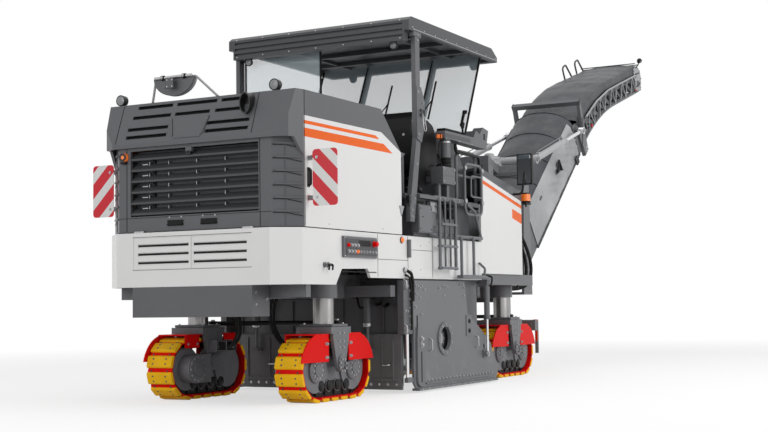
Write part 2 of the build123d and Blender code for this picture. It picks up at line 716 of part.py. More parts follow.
def loop_point(distance, inset):
    """A point on the track's outline, at a distance along it from the top's rear end."""
    arc = math.pi * end_r
    distance = distance % (2 * straight + 2 * arc)
    radius = end_r - inset
    if distance < straight:
        return (-straight / 2 + distance, end_r + radius)
    distance -= straight
    if distance < arc:
        angle = math.pi / 2 - distance / end_r
        return (straight / 2 + radius * math.cos(angle), end_r + radius * math.sin(angle))
    distance -= arc
    if distance < straight:
        return (straight / 2 - distance, end_r - radius)
    angle = -math.pi / 2 - (distance - straight) / end_r
    return (-straight / 2 + radius * math.cos(angle), end_r + radius * math.sin(angle))


def track_loop():
    around = 2 * straight + 2 * math.pi * end_r
    pitch = around / shoe_count
    shoe_gap = pitch * (1 - pad_share)
    points = []
    for index in range(shoe_count):
        start = index * pitch + straight / 2 + shoe_gap / 2
        for along, inset in ((0, shoe_depth), (0.02, 0), (pad_share, 0), (pad_share + 0.02, shoe_depth)):
            points.append(loop_point(start + along * pitch, inset))
    band_form = side_form(points, -track_width / 2, track_width / 2)
    inner_r = end_r - shoe_depth - belt_thickness
    hollow = Pos(0, 0, end_r) * Rot(90, 0, 0) * extrude(SlotCenterToCenter(straight, 2 * inner_r),
                                                        amount=track_width, both=True)
    return band_form - hollow


def carrier(side, height):
    """Column, fork, roller frame and wheels, about the column's axis. side points outwards."""
    inner_r = end_r - shoe_depth - belt_thickness
    wheel_r = inner_r - fit_gap
    leg_y = track_width / 2 + fork_side_gap
    pieces = [bar((0, 0, fork_top - 20), (0, 0, height), column_r)]
    pieces.append(block(-190, 190, -leg_y - fork_plate, leg_y + fork_plate, fork_bottom, fork_top))
    for direction in (-1, 1):
        y0, y1 = sorted((direction * leg_y, direction * (leg_y + fork_plate)))
        leg = [(-155, fork_top), (155, fork_top), (150, 600), (76, 320), (50, 285),
               (-50, 285), (-76, 320), (-150, 600)]
        pieces.append(side_form(leg, y0, y1))
    pieces.append(bar((0, -leg_y - fork_plate - 12, 390), (0, leg_y + fork_plate + 12, 390), 60))
    pieces.append(block(-straight / 2, straight / 2, -90, 90, 200, 400))
    for x in (-straight / 2, straight / 2):
        pieces.append(bar((x, -110, end_r), (x, 110, end_r), wheel_r))
    low = shoe_depth + belt_thickness + fit_gap
    for x in (-240, -80, 80, 240):
        pieces.append(bar((x, -100, low + 62), (x, 100, low + 62), 62))
    low, high = sorted((-side * 105, -side * motor_reach))
    pieces.append(bar((-straight / 2, low, end_r), (-straight / 2, high, end_r), motor_r))
    pieces.append(block(-straight / 2, -120, low, high, end_r - motor_r, end_r + motor_r))
    low, high = sorted((-side * leg_y, -side * (leg_y + 130)))
    pieces.append(block(-80, 190, low, high, 470, 590))
    arm = [(150, -80), (steer_arm, -45), (steer_arm + 45, 0), (steer_arm, 45), (150, 80)]
    pieces.append(plan_form(arm, steer_arm_z - 15, steer_arm_z + 15))
    pieces.append(bar((steer_arm, 0, steer_arm_z - 10), (steer_arm, 0, steer_arm_z + 90), steer_pin_r))
    return joined(pieces)


def guards(side):
    """A flat quarter plate outside each end of the track, with a strip over it and a tab inside."""
    guard_r = end_r + fender_gap + fender_plate
    strip_low = end_r + end_r + fender_gap
    strip_high = strip_low + fender_plate
    inner_y = track_width / 2 + 6
    outer_y = inner_y + 12
    found = []
    for direction in (-1, 1):
        near = direction * 192
        far = direction * (straight / 2 + guard_r)
        low, high = sorted((side * inner_y, side * outer_y))
        quarter = block(*sorted((near, far)), low, high, 390, strip_high)
        round_end = bar((direction * straight / 2, low - 1, end_r),
                        (direction * straight / 2, high + 1, end_r), guard_r)
        core = block(*sorted((near, direction * straight / 2)), low - 1, high + 1, 380, strip_high)
        quarter &= round_end + core
        strip_end = direction * (straight / 2 + 90)
        strip = block(*sorted((near, strip_end)), *sorted((-side * outer_y, side * outer_y)), strip_low,
                      strip_high)
        seat = block(*sorted((direction * 140, direction * 200)), -track_width / 2 + 5, track_width / 2 - 5,
                     strip_low, strip_high)
        tab = block(*sorted((direction * 215, strip_end)), *sorted((-side * inner_y, -side * outer_y)),
                    520, strip_high)
        found.append(joined([quarter, strip, seat, tab]))
    return found


belt_form = track_loop()
for end, axle_x, column_top in (("rear", axle_rear, 1540), ("front", axle_front, 1840)):
    for side_name, side in (("right", -1), ("left", 1)):
        place = Pos(axle_x, side * track_y, 0)
        save("track_carrier_" + end + "_" + side_name, place * carrier(side, column_top))
        save("track_belt_" + end + "_" + side_name, place * belt_form)
        save("track_guard_" + end + "_" + side_name, *[place * fender for fender in guards(side)])
    pin_x = axle_x + steer_arm
    rod_z = steer_arm_z + 50
    tie = bar((pin_x, -track_y + 30, rod_z), (pin_x, track_y - 30, rod_z), rod_r)
    for y in (-track_y, track_y):
        tie += bar((pin_x, y, steer_arm_z + 15 + fit_gap), (pin_x, y, steer_arm_z + 75), 48)
    for y in (-track_y, track_y):
        tie -= bar((pin_x, y, steer_arm_z), (pin_x, y, steer_arm_z + 120), steer_pin_r + fit_gap)
    save("tie_rod_" + end, tie)

# Slewing yoke that carries the discharge conveyor
yoke = []
yoke_out = yoke_in + yoke_t
for side in (-1, 1):
    low, high = sorted((side * yoke_in, side * yoke_out))
    cheek_form = side_form([(slew_x - 150, yoke_low), (slew_x + 150, yoke_low), (slew_x + 90, yoke_high),
                            (slew_x - 90, yoke_high)],
                           low, high)
    yoke.append(cheek_form)
    yoke.append(bar((slew_x, side * (frame_half + fit_gap), foot_z), (slew_x, side * (yoke_in + 5), foot_z),
                    70))
yoke.append(block(slew_x - 150, slew_x + 150, -yoke_out, yoke_out, yoke_low - 20, yoke_low + 15))
yoke.append(block(slew_x - 90, slew_x + 90, -yoke_out, yoke_out, yoke_high - 5, bracket_z - fit_gap))
yoke.append(bar((slew_x, 0, lower_hub_z), (slew_x, 0, yoke_low), pin_r))
yoke.append(bar((slew_x, 0, bracket_z - 10), (slew_x, 0, cyl_z + 60), pin_r))
turret_bottom = bracket_z + bracket_t + 6
yoke.append(bar((slew_x, 0, turret_bottom), (slew_x, 0, cyl_z + 60), 120))
yoke.append(block(slew_x, cyl_x, -110, 110, turret_bottom, cyl_z + 60))
yoke.append(bar((cyl_x, -cyl_y - 50, cyl_z), (cyl_x, cyl_y + 50, cyl_z), 30))
yoke.append(bar((cyl_x, -cyl_y + 60, cyl_z), (cyl_x, cyl_y - 60, cyl_z), 55))
save("slew_yoke", joined(yoke))


# Discharge conveyor, in its level drawing frame (u forward, v up)
def conveyor(shape):
    return Pos(slew_x, 0, foot_z) * Rot(0, -slope, 0) * shape


v_low = -frame_below
v_high = frame_above
low_end_u = fold_u - fold_gap
lower_parts = []
for side in (-1, 1):
    low, high = sorted((side * (frame_half - frame_t), side * frame_half))
    lower_parts.append(block(tail_u, low_end_u, low, high, v_low, v_high))
for u in (tail_u + 60, 500, 1350, 2200, low_end_u - 120):
    lower_parts.append(block(u, u + 60, -frame_half + frame_t, frame_half - frame_t, v_low, v_low + 50))
for u in (tail_u + 60, low_end_u - 110):
    lower_parts.append(bar((u, -frame_half + frame_t - 2, belt_v - 75),
                           (u, frame_half - frame_t + 2, belt_v - 75), 40))
lower_solid = joined(lower_parts)
end_parts = []
for side in (-1, 1):
    low, high = sorted((side * (frame_half - 5), side * (frame_half + 45)))
    end_parts.append(block(lug_u - 55, lug_u + 55, low, high, lug_v - 60, lug_v + 54))
    low, high = sorted((side * frame_half, side * (frame_half + gantry_t)))
    end_parts.append(block(fold_u - 130, low_end_u - 5, low, high, fold_v - 50, 100))
    low, high = sorted((side * (frame_half + fold_side_gap), side * (frame_half + gantry_t)))
    post = [(fold_u - 130, fold_v - 50), (fold_u + 50, fold_v - 50), (fold_u + 60, fold_v + 60),
            (gantry_u + 40, gantry_v), (gantry_u - 40, gantry_v)]
    end_parts.append(side_form(post, low, high))
    low, high = sorted((side * (frame_half - frame_t - 5), side * (frame_half + gantry_t - 5)))
    end_parts.append(bar((fold_u, low, fold_v), (fold_u, high, fold_v), fold_pin_r))
gantry_end = frame_half + gantry_t
end_parts.append(block(gantry_u - 40, gantry_u + 40, -gantry_end, gantry_end, gantry_v - 5, gantry_v + 65))
lower_solid = joined([lower_solid] + end_parts)
save("conveyor_frame_lower", conveyor(lower_solid))

belt_end_u = low_end_u - 110
lower_belt = block(tail_u + 60, belt_end_u, -belt_half, belt_half, belt_v, belt_v + belt_t)
lower_belt += block(tail_u + 60, belt_end_u, -belt_half, belt_half, belt_v - 150 - belt_t, belt_v - 150)
belt_end_r = (150 + 2 * belt_t) / 2
belt_mid = belt_v - 75
for u in (tail_u + 60, belt_end_u):
    lower_belt += bar((u, -belt_half, belt_mid), (u, belt_half, belt_mid), belt_end_r)
lower_belt -= block(tail_u + 60, belt_end_u, -belt_half - 1, belt_half + 1, belt_v - 150, belt_v)
for u in (tail_u + 60, belt_end_u):
    lower_belt -= bar((u, -belt_half - 1, belt_mid), (u, belt_half + 1, belt_mid), belt_end_r - belt_t)
save("conveyor_belt_lower", conveyor(lower_belt))


def arch_section(inner):
    """Half-round tarpaulin outline over the frame's top edges, as (y, v)."""
    half = frame_half - inner
    rise = cover_rise - inner
    points = []
    for step in range(13):
        angle = math.pi * step / 12
        points.append((half * math.cos(angle), v_high + rise * math.sin(angle)))
    return points


cover_u0 = tail_u + 500
arch_mouth = [(-frame_half + cover_t, v_high - cover_t), (frame_half - cover_t, v_high - cover_t)]
arch_face = outline(arch_section(0)) - outline(arch_section(cover_t) + arch_mouth)
arch_ring = Pos(cover_u0, 0, 0) * extrude(Plane.YZ * arch_face, amount=low_end_u - 130 - cover_u0)
side_cloth = block(side_cloth_u0, side_cloth_u1, frame_half + fit_gap, frame_half + fit_gap + cover_t - 2,
                   v_low, v_high + 60)
cloths = both_sides(side_cloth)
save("conveyor_cover_lower", *[conveyor(piece) for piece in [arch_ring] + cloths])


def bent_face(v0, v1, run_end):
    """A strip between two heights that follows the bend and the head's run."""
    r0 = bend_r + v0 + frame_below
    r1 = bend_r + v1 + frame_below
    centre = (fold_u, bend_centre_v)

    def at(radius, share):
        angle = math.pi / 2 - bend_rad * share
        return (centre[0] + radius * math.cos(angle), centre[1] + radius * math.sin(angle))

    run = (run_end * math.cos(bend_rad), -run_end * math.sin(bend_rad))
    low_a, low_m, low_b = at(r0, 0), at(r0, 0.5), at(r0, 1)
    top_a, top_m, top_b = at(r1, 0), at(r1, 0.5), at(r1, 1)
    low_c = (low_b[0] + run[0], low_b[1] + run[1])
    top_c = (top_b[0] + run[0], top_b[1] + run[1])
    edges = [ThreePointArc(low_a, low_m, low_b), Line(low_b, low_c), Line(low_c, top_c),
             Line(top_c, top_b), ThreePointArc(top_b, top_m, top_a), Line(top_a, low_a)]
    return make_face(edges)


def bent_strip(v0, v1, y0, y1, run_end):
    return Pos(0, y1, 0) * extrude(Plane.XZ * bent_face(v0, v1, run_end), amount=y1 - y0)


def along_bend(distance):
    """The place of a point at a distance along the bend and the head's run, at the frame's lower edge."""
    if distance < bend_r * bend_rad:
        angle = math.degrees(distance / bend_r)
        return Pos(fold_u, 0, bend_centre_v) * Rot(0, angle, 0) * Pos(0, 0, bend_r)
    rest = distance - bend_r * bend_rad
    return Pos(fold_u, 0, bend_centre_v) * Rot(0, bend_angle, 0) * Pos(rest, 0, bend_r)


bay_count = 9
chord = 62
rail_top = 287
frame_run = bend_r * bend_rad + head_run
bay = (frame_run - 420) / bay_count
side_wall = bent_strip(v_low, v_low + rail_top, -frame_half, frame_half, head_run + 150)
cutters = [bent_strip(v_low - 20, v_low + rail_top + 20, -frame_half + frame_t, frame_half - frame_t,
                      head_run + 160)]
tie_top = frame_below + belt_v - 150 - belt_t - fit_gap
ties = []
for index in range(bay_count):
    place = along_bend(60 + bay * (index + 0.5))
    half_bay = bay / 2 - 26
    tri_low = [(-half_bay, chord), (half_bay - 60, chord), (-half_bay, rail_top - chord - 30)]
    tri_high = [(half_bay, rail_top - chord), (half_bay, chord + 30), (-half_bay + 60, rail_top - chord)]
    for tri in (tri_low, tri_high):
        cutters.append(place * side_form(tri, -frame_half - 5, frame_half + 5))
    ties.append(along_bend(60 + bay * index) * block(-20, 20, -frame_half + frame_t - 4,
                                                     frame_half - frame_t + 4, 4, tie_top))
head_place = along_bend(frame_run)
roller_v = frame_below + belt_v - 75
ties.append(head_place * bar((60, -frame_half + frame_t - 4, roller_v),
                             (60, frame_half - frame_t + 4, roller_v), 60))
for side in (-1, 1):
    low, high = sorted((side * (frame_half - frame_t), side * (frame_half - fold_side_gap)))
    eye = bar((fold_u, low, fold_v), (fold_u, high, fold_v), fold_pin_r + 20)
    eye += block(fold_u + 2, fold_u + 50, low, high, fold_v, v_low + 30)
    cut = bar((fold_u, low - 5, fold_v), (fold_u, high + 5, fold_v), fold_pin_r + fit_gap)
    ties.append(eye - cut)
frame_upper = side_wall
for cutter in cutters:
    frame_upper -= cutter
for tie_bar in ties:
    frame_upper += tie_bar
save("conveyor_frame_upper", conveyor(frame_upper))

belt_top = bent_strip(belt_v, belt_v + belt_t, -belt_half, belt_half, head_run + 60)
belt_low = bent_strip(belt_v - 150 - belt_t, belt_v - 150, -belt_half, belt_half, head_run + 60)
nose = head_place * (bar((60, -belt_half, roller_v), (60, belt_half, roller_v), belt_end_r)
                     - bar((60, -belt_half - 1, roller_v), (60, belt_half + 1, roller_v), belt_end_r - belt_t)
                     - block(-100, 60, -belt_half - 1, belt_half + 1, roller_v - 200, roller_v + 200))
save("conveyor_belt_upper", conveyor(belt_top + belt_low + nose))

shell = bent_strip(130, 340, -frame_half, frame_half, head_run)
shell -= bent_strip(120, 340 - cover_t, -frame_half + cover_t, frame_half - cover_t, head_run + 5)
cap_centre = frame_below + 340 - head_cap_r
head_disc = head_place * bar((-20, -frame_half, cap_centre), (-20, frame_half, cap_centre), head_cap_r)
head_disc -= head_place * bar((-20, -frame_half + cover_t, cap_centre),
                              (-20, frame_half - cover_t, cap_centre),
                              head_cap_r - cover_t)
head_disc &= head_place * block(-25, 300, -600, 600, frame_below + 130, 700)
cover_top = frame_below + 340
hoops = []
for distance in (2160, 2790):
    hoop = pipe([(0, 440, cover_top - 4), (-60, 440, cover_top + 180), (120, 440, cover_top + 200),
                 (340, 440, cover_top - 4)], 14, 60)
    hoops.append(along_bend(distance) * hoop)
save("conveyor_cover_upper", conveyor(joined([shell, head_disc] + hoops)))

# Luffing cylinders
lug_x = slew_x + lug_u * math.cos(slope_rad) - lug_v * math.sin(slope_rad)
lug_z = foot_z + lug_u * math.sin(slope_rad) + lug_v * math.cos(slope_rad)
cyl_length = math.hypot(lug_x - cyl_x, lug_z - cyl_z)
cyl_angle = math.degrees(math.atan2(lug_z - cyl_z, lug_x - cyl_x))
cyl_place = Pos(cyl_x, 0, cyl_z) * Rot(0, -cyl_angle, 0)
barrels = []
rods = []
for side in (-1, 1):
    y = side * cyl_y
    barrel = bar((60, y, 0), (cyl_barrel, y, 0), cyl_r) + bar((0, y - 35, 0), (0, y + 35, 0), 62)
    barrel -= bar((0, y - 40, 0), (0, y + 40, 0), 30 + fit_gap)
    barrel -= bar((100, y, 0), (cyl_barrel + 10, y, 0), cyl_rod_r + fit_gap)
    barrels.append(cyl_place * barrel)
    rod = bar((cyl_length - cyl_rod_length, y, 0), (cyl_length - 40, y, 0), cyl_rod_r)
    rod += bar((cyl_length, y - 35, 0), (cyl_length, y + 35, 0), 55)
    rods.append(cyl_place * rod)
save("luff_barrels", *barrels)
save("luff_rods", *rods)

print("overall length", round(overall_length), "middle", round(middle_x))
print("lug", round(lug_x), round(lug_z), "cylinder", round(cyl_length), round(cyl_angle, 2))
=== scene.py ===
# %% [markdown]
# A cold planer mills the worn top off a road. This lesson dresses its CAD model: the model gives every rigid
# part its place, and the cells below add finishes, soft goods and the small parts that a workshop bolts on.

# %% Load the frame
import math

import bmesh
import bpy
from mathutils import Matrix, Vector, noise


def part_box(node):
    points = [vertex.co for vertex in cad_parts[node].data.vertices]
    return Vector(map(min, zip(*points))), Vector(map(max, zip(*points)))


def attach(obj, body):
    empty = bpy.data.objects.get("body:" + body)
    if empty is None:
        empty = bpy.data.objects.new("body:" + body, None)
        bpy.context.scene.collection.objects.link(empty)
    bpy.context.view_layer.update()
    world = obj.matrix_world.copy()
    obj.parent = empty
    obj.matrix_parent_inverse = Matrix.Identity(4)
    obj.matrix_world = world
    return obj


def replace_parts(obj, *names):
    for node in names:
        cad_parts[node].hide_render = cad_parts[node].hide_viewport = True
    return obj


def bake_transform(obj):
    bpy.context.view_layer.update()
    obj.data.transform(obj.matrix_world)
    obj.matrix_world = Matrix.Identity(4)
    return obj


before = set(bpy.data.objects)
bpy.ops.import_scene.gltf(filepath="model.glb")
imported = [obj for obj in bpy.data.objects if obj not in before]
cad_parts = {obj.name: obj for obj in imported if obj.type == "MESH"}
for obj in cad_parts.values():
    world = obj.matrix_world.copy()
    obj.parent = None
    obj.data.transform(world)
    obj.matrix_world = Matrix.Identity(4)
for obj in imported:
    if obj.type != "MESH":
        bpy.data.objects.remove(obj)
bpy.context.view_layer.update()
rear_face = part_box("rear_beam")[0].x

# %% Objects and their plain meshes


def new_object(name, data):
    made = bpy.data.objects.new(name, data)
    bpy.context.scene.collection.objects.link(made)
    return made


def plain_mesh(made):
    """The mesh of an object with its modifiers, or its tree, worked out."""
    view = bpy.context.evaluated_depsgraph_get()
    return bpy.data.meshes.new_from_object(made.evaluated_get(view), depsgraph=view)


def settle(made):
    """Turns an object's modifiers into its mesh."""
    made.data = plain_mesh(made)
    made.modifiers.clear()


def smooth_shading(mesh):
    for polygon in mesh.polygons:
        polygon.use_smooth = True


# %% [markdown]
# The camera stands behind the machine and to its right, a little under waist height, with a long lens. Its
# place was worked out from the picture's edges, so the render can be laid over the photograph.

# %% Camera
camera_place = Vector((-10.161, -7.543, 0.934)) + Vector((rear_face, 0, 0))
focal_length = 62.43
camera_yaw, camera_pitch, camera_roll = math.radians(28.30), math.radians(3.79), math.radians(-0.79)


def make_camera():
    forward = Vector((math.cos(camera_yaw) * math.cos(camera_pitch),
                      math.sin(camera_yaw) * math.cos(camera_pitch), math.sin(camera_pitch)))
    level = Vector((math.sin(camera_yaw), -math.cos(camera_yaw), 0))
    above = level.cross(forward)
    right = math.cos(camera_roll) * level + math.sin(camera_roll) * above
    up = -math.sin(camera_roll) * level + math.cos(camera_roll) * above
    lens = bpy.data.cameras.new("studio_camera")
    lens.lens = focal_length
    lens.sensor_width = 36
    lens.clip_end = 200
    holder = new_object("studio_camera", lens)
    turn = Matrix((right, up, -forward)).transposed().to_4x4()
    holder.matrix_world = Matrix.Translation(camera_place) @ turn
    bpy.context.scene.camera = holder


make_camera()

# %% [markdown]
# Shader maths reads best as plain sums. `Wire` wraps an output socket and answers to the operators with Math
# nodes, and `Graph.node` is the one way that any other node is made, in materials and in Geometry Nodes
# alike.

# %% Wires and graphs


def operator(name, swapped=False):
    """The method that adds one Math node for an operator."""
    def add_node(wire, other):
        first, second = (other, wire) if swapped else (wire, other)
        return wire.graph.node(wire.graph.maths, {"operation": name}, {0: first, 1: second})
    return add_node


class Wire:
    """An output socket that adds Math nodes when it is used in a sum."""

    def __init__(self, graph, socket):
        self.graph = graph
        self.socket = socket

    __add__ = __radd__ = operator("ADD")
    __sub__ = operator("SUBTRACT")
    __rsub__ = operator("SUBTRACT", swapped=True)
    __mul__ = __rmul__ = operator("MULTIPLY")
    __truediv__ = operator("DIVIDE")
    __gt__ = operator("GREATER_THAN")
    __lt__ = operator("LESS_THAN")


class Graph:
    """A node tree with one method that makes every node."""

    def __init__(self, tree, prefix):
        self.tree = tree
        self.prefix = prefix
        self.maths = "Math" if prefix else "ShaderNodeMath"

    def node(self, kind, settings=None, values=None, output=0):
        made = self.tree.nodes.new(self.prefix + kind)
        for key, value in (settings or {}).items():
            setattr(made, key, value)
        for key, value in (values or {}).items():
            if isinstance(value, Wire):
                self.tree.links.new(value.socket, made.inputs[key])
            else:
                made.inputs[key].default_value = value
        return Wire(self, made.outputs[output] if made.outputs else None)


# %% [markdown]
# Every finish starts from the same recipe: a base colour that drifts a little, a film of road dust that
# gathers low down, and a fine bump for the paint's orange peel or the casting's grain. Patterns read Object
# coordinates, so they stay with the part when a joint moves.

# %% Finishes


def shade(colour, factor=1.0):
    return (colour[0] * factor, colour[1] * factor, colour[2] * factor, 1.0)


class Finish(Graph):
    """One material, from its pattern coordinates to its surface."""

    def __init__(self, name):
        self.material = bpy.data.materials.new(name)
        self.material.use_nodes = True
        super().__init__(self.material.node_tree, "ShaderNode")
        self.tree.nodes.clear()
        self.place = self.node("TexCoord", output=3)
        self.x = self.node("SeparateXYZ", {}, {0: self.place})
        self.y, self.z = (Wire(self, self.x.socket.node.outputs[index]) for index in (1, 2))

    def noise(self, scale, detail=3.0, roughness=0.5):
        return self.node("TexNoise", {}, {"Vector": self.place, "Scale": scale, "Detail": detail,
                                          "Roughness": roughness})

    def between(self, value, low, high):
        """0 below low, 1 above high, and a straight rise from one to the other."""
        return self.node("MapRange", {}, {"Value": value, "From Min": low, "From Max": high})

    def patches(self, low, high, scale, detail=6.0, roughness=0.7):
        """Ragged patches: 1 where a noise is above high, 0 where it is below low."""
        return self.between(self.noise(scale, detail, roughness), low, high)

    def mix(self, share, first, second):
        return self.node("Mix", {"data_type": "RGBA"}, {0: share, 6: first, 7: second}, 2)

    def tones(self, pattern, colour, low, high):
        """A colour that drifts between a darker and a lighter shade."""
        return self.mix(pattern, shade(colour, low), shade(colour, high))

    def surface(self, colour, roughness, bump=None, bump_depth=0.001, metallic=0.0, **constants):
        values = {"Base Color": colour, "Roughness": roughness, "Metallic": metallic}
        values.update({name.replace("_", " "): value for name, value in constants.items()})
        if bump is not None:
            values["Normal"] = self.node("Bump", {}, {"Strength": 1.0, "Distance": bump_depth,
                                                      "Height": bump})
        self.node("OutputMaterial", {}, {0: self.node("BsdfPrincipled", {}, values)})
        return self.material


dust_colour = (0.42, 0.39, 0.34, 1.0)


def painted(name, colour, roughness, dust=0.12, peel=0.00002, worn=0.0, gloss=0.4):
    """Sprayed machine paint with dust low down and, where worn, rubbed patches."""
    finish = Finish(name)
    body = finish.tones(finish.noise(1.7), colour, 0.96, 1.03)
    low = 1 - finish.between(finish.z, 0.1, 1.6)
    film = (low * 0.85 + 0.15) * finish.patches(0.35, 0.85, 2.4, 5.0, 0.6) * dust
    body = finish.mix(film, body, dust_colour)
    if worn:
        body = finish.mix(finish.patches(0.66, 0.72, 14.0) * worn, body, shade(colour, 2.2))
    rough = film * 0.4 + finish.noise(9.0) * 0.04 + (roughness - 0.02)
    return finish.surface(body, rough, finish.noise(90.0, 2.0), peel, Specular_IOR_Level=gloss)


def plain_metal(name, colour, roughness, scale=60.0, grain=0.0002):
    finish = Finish(name)
    rough = finish.noise(scale, 4.0) * 0.2 + (roughness - 0.1)
    return finish.surface(finish.tones(finish.noise(8.0, 5.0), colour, 0.8, 1.15), rough,
                          finish.noise(scale * 4), grain, metallic=1.0)


def moulded(name, colour, roughness, grain=0.0003, scale=90.0, scuffed=0.2):
    """Rubber or moulded plastic: matt, with a fine pebble."""
    finish = Finish(name)
    tone = finish.tones(finish.noise(5.0, 4.0), colour, 0.8, 1.2)
    tone = finish.mix(finish.patches(0.55, 0.8, 11.0) * scuffed, tone, dust_colour)
    rough = finish.noise(20.0) * 0.15 + (roughness - 0.07)
    return finish.surface(tone, rough, finish.noise(scale, 2.0), grain, Specular_IOR_Level=0.12)


white = (0.84, 0.838, 0.832)
cowl_grey = (0.115, 0.118, 0.128)
deep_grey = (0.065, 0.067, 0.072)
frame_grey = (0.16, 0.163, 0.175)
black = (0.012, 0.012, 0.013)
orange = (0.90, 0.135, 0.003)

finishes = {
    "white": painted("white_body_paint", white, 0.26, dust=0.05, peel=0.00001),
    "cowl": painted("dark_grey_cowl_paint", cowl_grey, 0.38, dust=0.10),
    "deep": painted("anthracite_canopy_paint", deep_grey, 0.42, dust=0.06),
    "grey": painted("grey_machine_paint", frame_grey, 0.40, dust=0.10, worn=0.15, gloss=0.3),
    "black": painted("black_satin_paint", black, 0.40, dust=0.04, gloss=0.15),
    "red": painted("red_track_paint", (0.84, 0.004, 0.003), 0.36, dust=0.03, gloss=0.08),
    "pale": painted("light_grey_casting_paint", (0.42, 0.43, 0.44), 0.36),
    "steel": plain_metal("bare_steel", (0.45, 0.45, 0.46), 0.42),
    "chrome": plain_metal("chromed_rod", (0.75, 0.75, 0.77), 0.16, 20.0, 0.00002),
    "rubber": moulded("black_rubber", (0.016, 0.016, 0.016), 0.62),
    "vinyl": moulded("black_seat_vinyl", (0.006, 0.006, 0.0065), 0.55, 0.0004, 140.0, scuffed=0.03),
    "pad": moulded("yellow_track_pad", (1.0, 0.56, 0.012), 0.5, 0.0006, 60.0, scuffed=0.06),
}
print("plain finishes", len(finishes))

# %% [markdown]
# Some panels carry their own pattern: the hood's sides and the front body have orange stripes that follow a
# slanting edge, and the warning plates have broad red and white slants. A comparison of two wires gives a
# sharp edge, and masks multiply where both must hold.

# %% Glass, stripes and warning slants
cowl_slant, cowl_edge = 0.42, 3.33
nose_height, nose_start, nose_fall = 2.53, 4.2, 0.2
slant_pitch, slant_share = 0.265, 0.565


def glass_finish():
    """Pale blue tinted glass, clear enough to see the studio through."""
    finish = Finish("tinted_cab_glass")
    tint = finish.mix(finish.noise(3.0, 4.0), (0.66, 0.78, 0.84, 1), (0.72, 0.83, 0.88, 1))
    return finish.surface(tint, 0.05, IOR=1.45, Alpha=0.34)


def striped(name, draw_masks):
    """White body paint with an orange mask and a dark one, from the distance forward of the rear face."""
    finish = Finish(name)
    stripes, band = draw_masks(finish, finish.x - rear_face)
    body = finish.mix(stripes, finish.tones(finish.noise(1.1), white, 0.98, 1.02), shade(orange))
    if band:
        body = finish.mix(band, body, shade(cowl_grey))
    return finish.surface(body, finish.noise(9.0) * 0.03 + 0.25, finish.noise(90.0, 2.0), 0.00001,
                          Specular_IOR_Level=0.18)


def inside(value, low, high):
    """1 where a value lies between two bounds."""
    return (value > low) * (value < high)


def hood_stripes(finish, forward):
    """A thin and a thick stripe that end along the cowl's slanting edge."""
    stripes = inside(finish.z, 2.612, 2.645) + inside(finish.z, 2.492, 2.575)
    return stripes * (forward > 0.25) * (finish.z + forward * cowl_slant < cowl_edge), None


def front_stripes(finish, forward):
    """Dark top band, one orange stripe and a block, all along the sloping top."""
    below = nose_height - (forward - nose_start) * nose_fall - finish.z
    stripe = inside(below, 0.125, 0.17) * (forward > 4.24)
    block = inside(below, 0.24, 0.36) * inside(forward, 5.15, 5.75)
    return stripe + block, below < 0.075


def warning_finish():
    """Retroreflective sheet: broad red and white slants that fall outwards on both sides."""
    finish = Finish("warning_plate_sheet")
    out = finish.node("Math", {"operation": "ABSOLUTE"}, {0: finish.y})
    share = finish.node("Math", {"operation": "FRACT"}, {0: (finish.z + out) / slant_pitch - 0.075})
    honeycomb = finish.node("TexVoronoi", {}, {"Vector": finish.place, "Scale": 160.0})
    body = finish.mix(share < slant_share, (0.80, 0.80, 0.79, 1), (0.66, 0.008, 0.022, 1))
    return finish.surface(body, honeycomb * 0.2 + 0.25, honeycomb, 0.0001)


finishes["glass"] = glass_finish()
finishes["hood_side"] = striped("hood_side_paint", hood_stripes)
finishes["front_body"] = striped("front_body_paint", front_stripes)
finishes["warning"] = warning_finish()

# %% [markdown]
# A few finishes belong to one piece. The crawler carriers are painted castings below and bright ground
# columns above; lamps are moulded amber or clear plastic, the amber with a painted glow; tarpaulins are coated
# cloth with a fine weave and creases, with painted fold shade and painted lit patches. The values are heights,
# and distances forward of the rear face, at which one paint ends.

# %% More finishes
fork_top, turret_foot = 0.7225, 2.864
plate_back, rod_foot = 2.2585, 0.17
mirror_back, mirror_foot, tube_back, tube_top = 0.25, 2.98, 0.3765, 3.5
chrome_tone = (0.75, 0.75, 0.77, 1)


def carrier_finish():
    """Grey paint up to the fork's top, then the bare ground column."""
    finish = Finish("carrier_paint_and_column")
    column = finish.z > fork_top
    cast = finish.tones(finish.noise(5.0, 4.0), frame_grey, 0.9, 1.12)
    cast = finish.mix(finish.patches(0.5, 0.8, 9.0) * 0.2, cast, dust_colour)
    bright = finish.mix(finish.noise(4.0, 3.0), (0.26, 0.255, 0.25, 1), (0.42, 0.41, 0.405, 1))
    rough = finish.noise(12.0) * 0.12 + 0.4 - column * 0.16
    return finish.surface(finish.mix(column, cast, bright), rough, finish.noise(120.0, 2.0), 0.0002,
                          metallic=column * 0.9)


def lens(name, colour, glow):
    """Moulded lamp plastic with the ribs that spread its light, and a painted glow in its own colour."""
    finish = Finish(name)
    ribs = finish.node("Math", {"operation": "SINE"}, {0: finish.z * 900})
    body = finish.tones(finish.noise(20.0), colour, 0.85, 1.1)
    # Painted glow: the lens shines in its own colour though no lamp lights it.
    return finish.surface(body, finish.noise(30.0) * 0.05 + 0.1, ribs, 0.0004, Emission_Color=shade(colour),
                          Emission_Strength=glow, Coat_Weight=0.6)


def mirror_finish():
    finish = Finish("mirror_glass")
    tone = finish.mix(finish.noise(2.0), (0.80, 0.82, 0.84, 1), (0.86, 0.87, 0.88, 1))
    return finish.surface(tone, finish.noise(40.0) * 0.02 + 0.02, metallic=1.0)


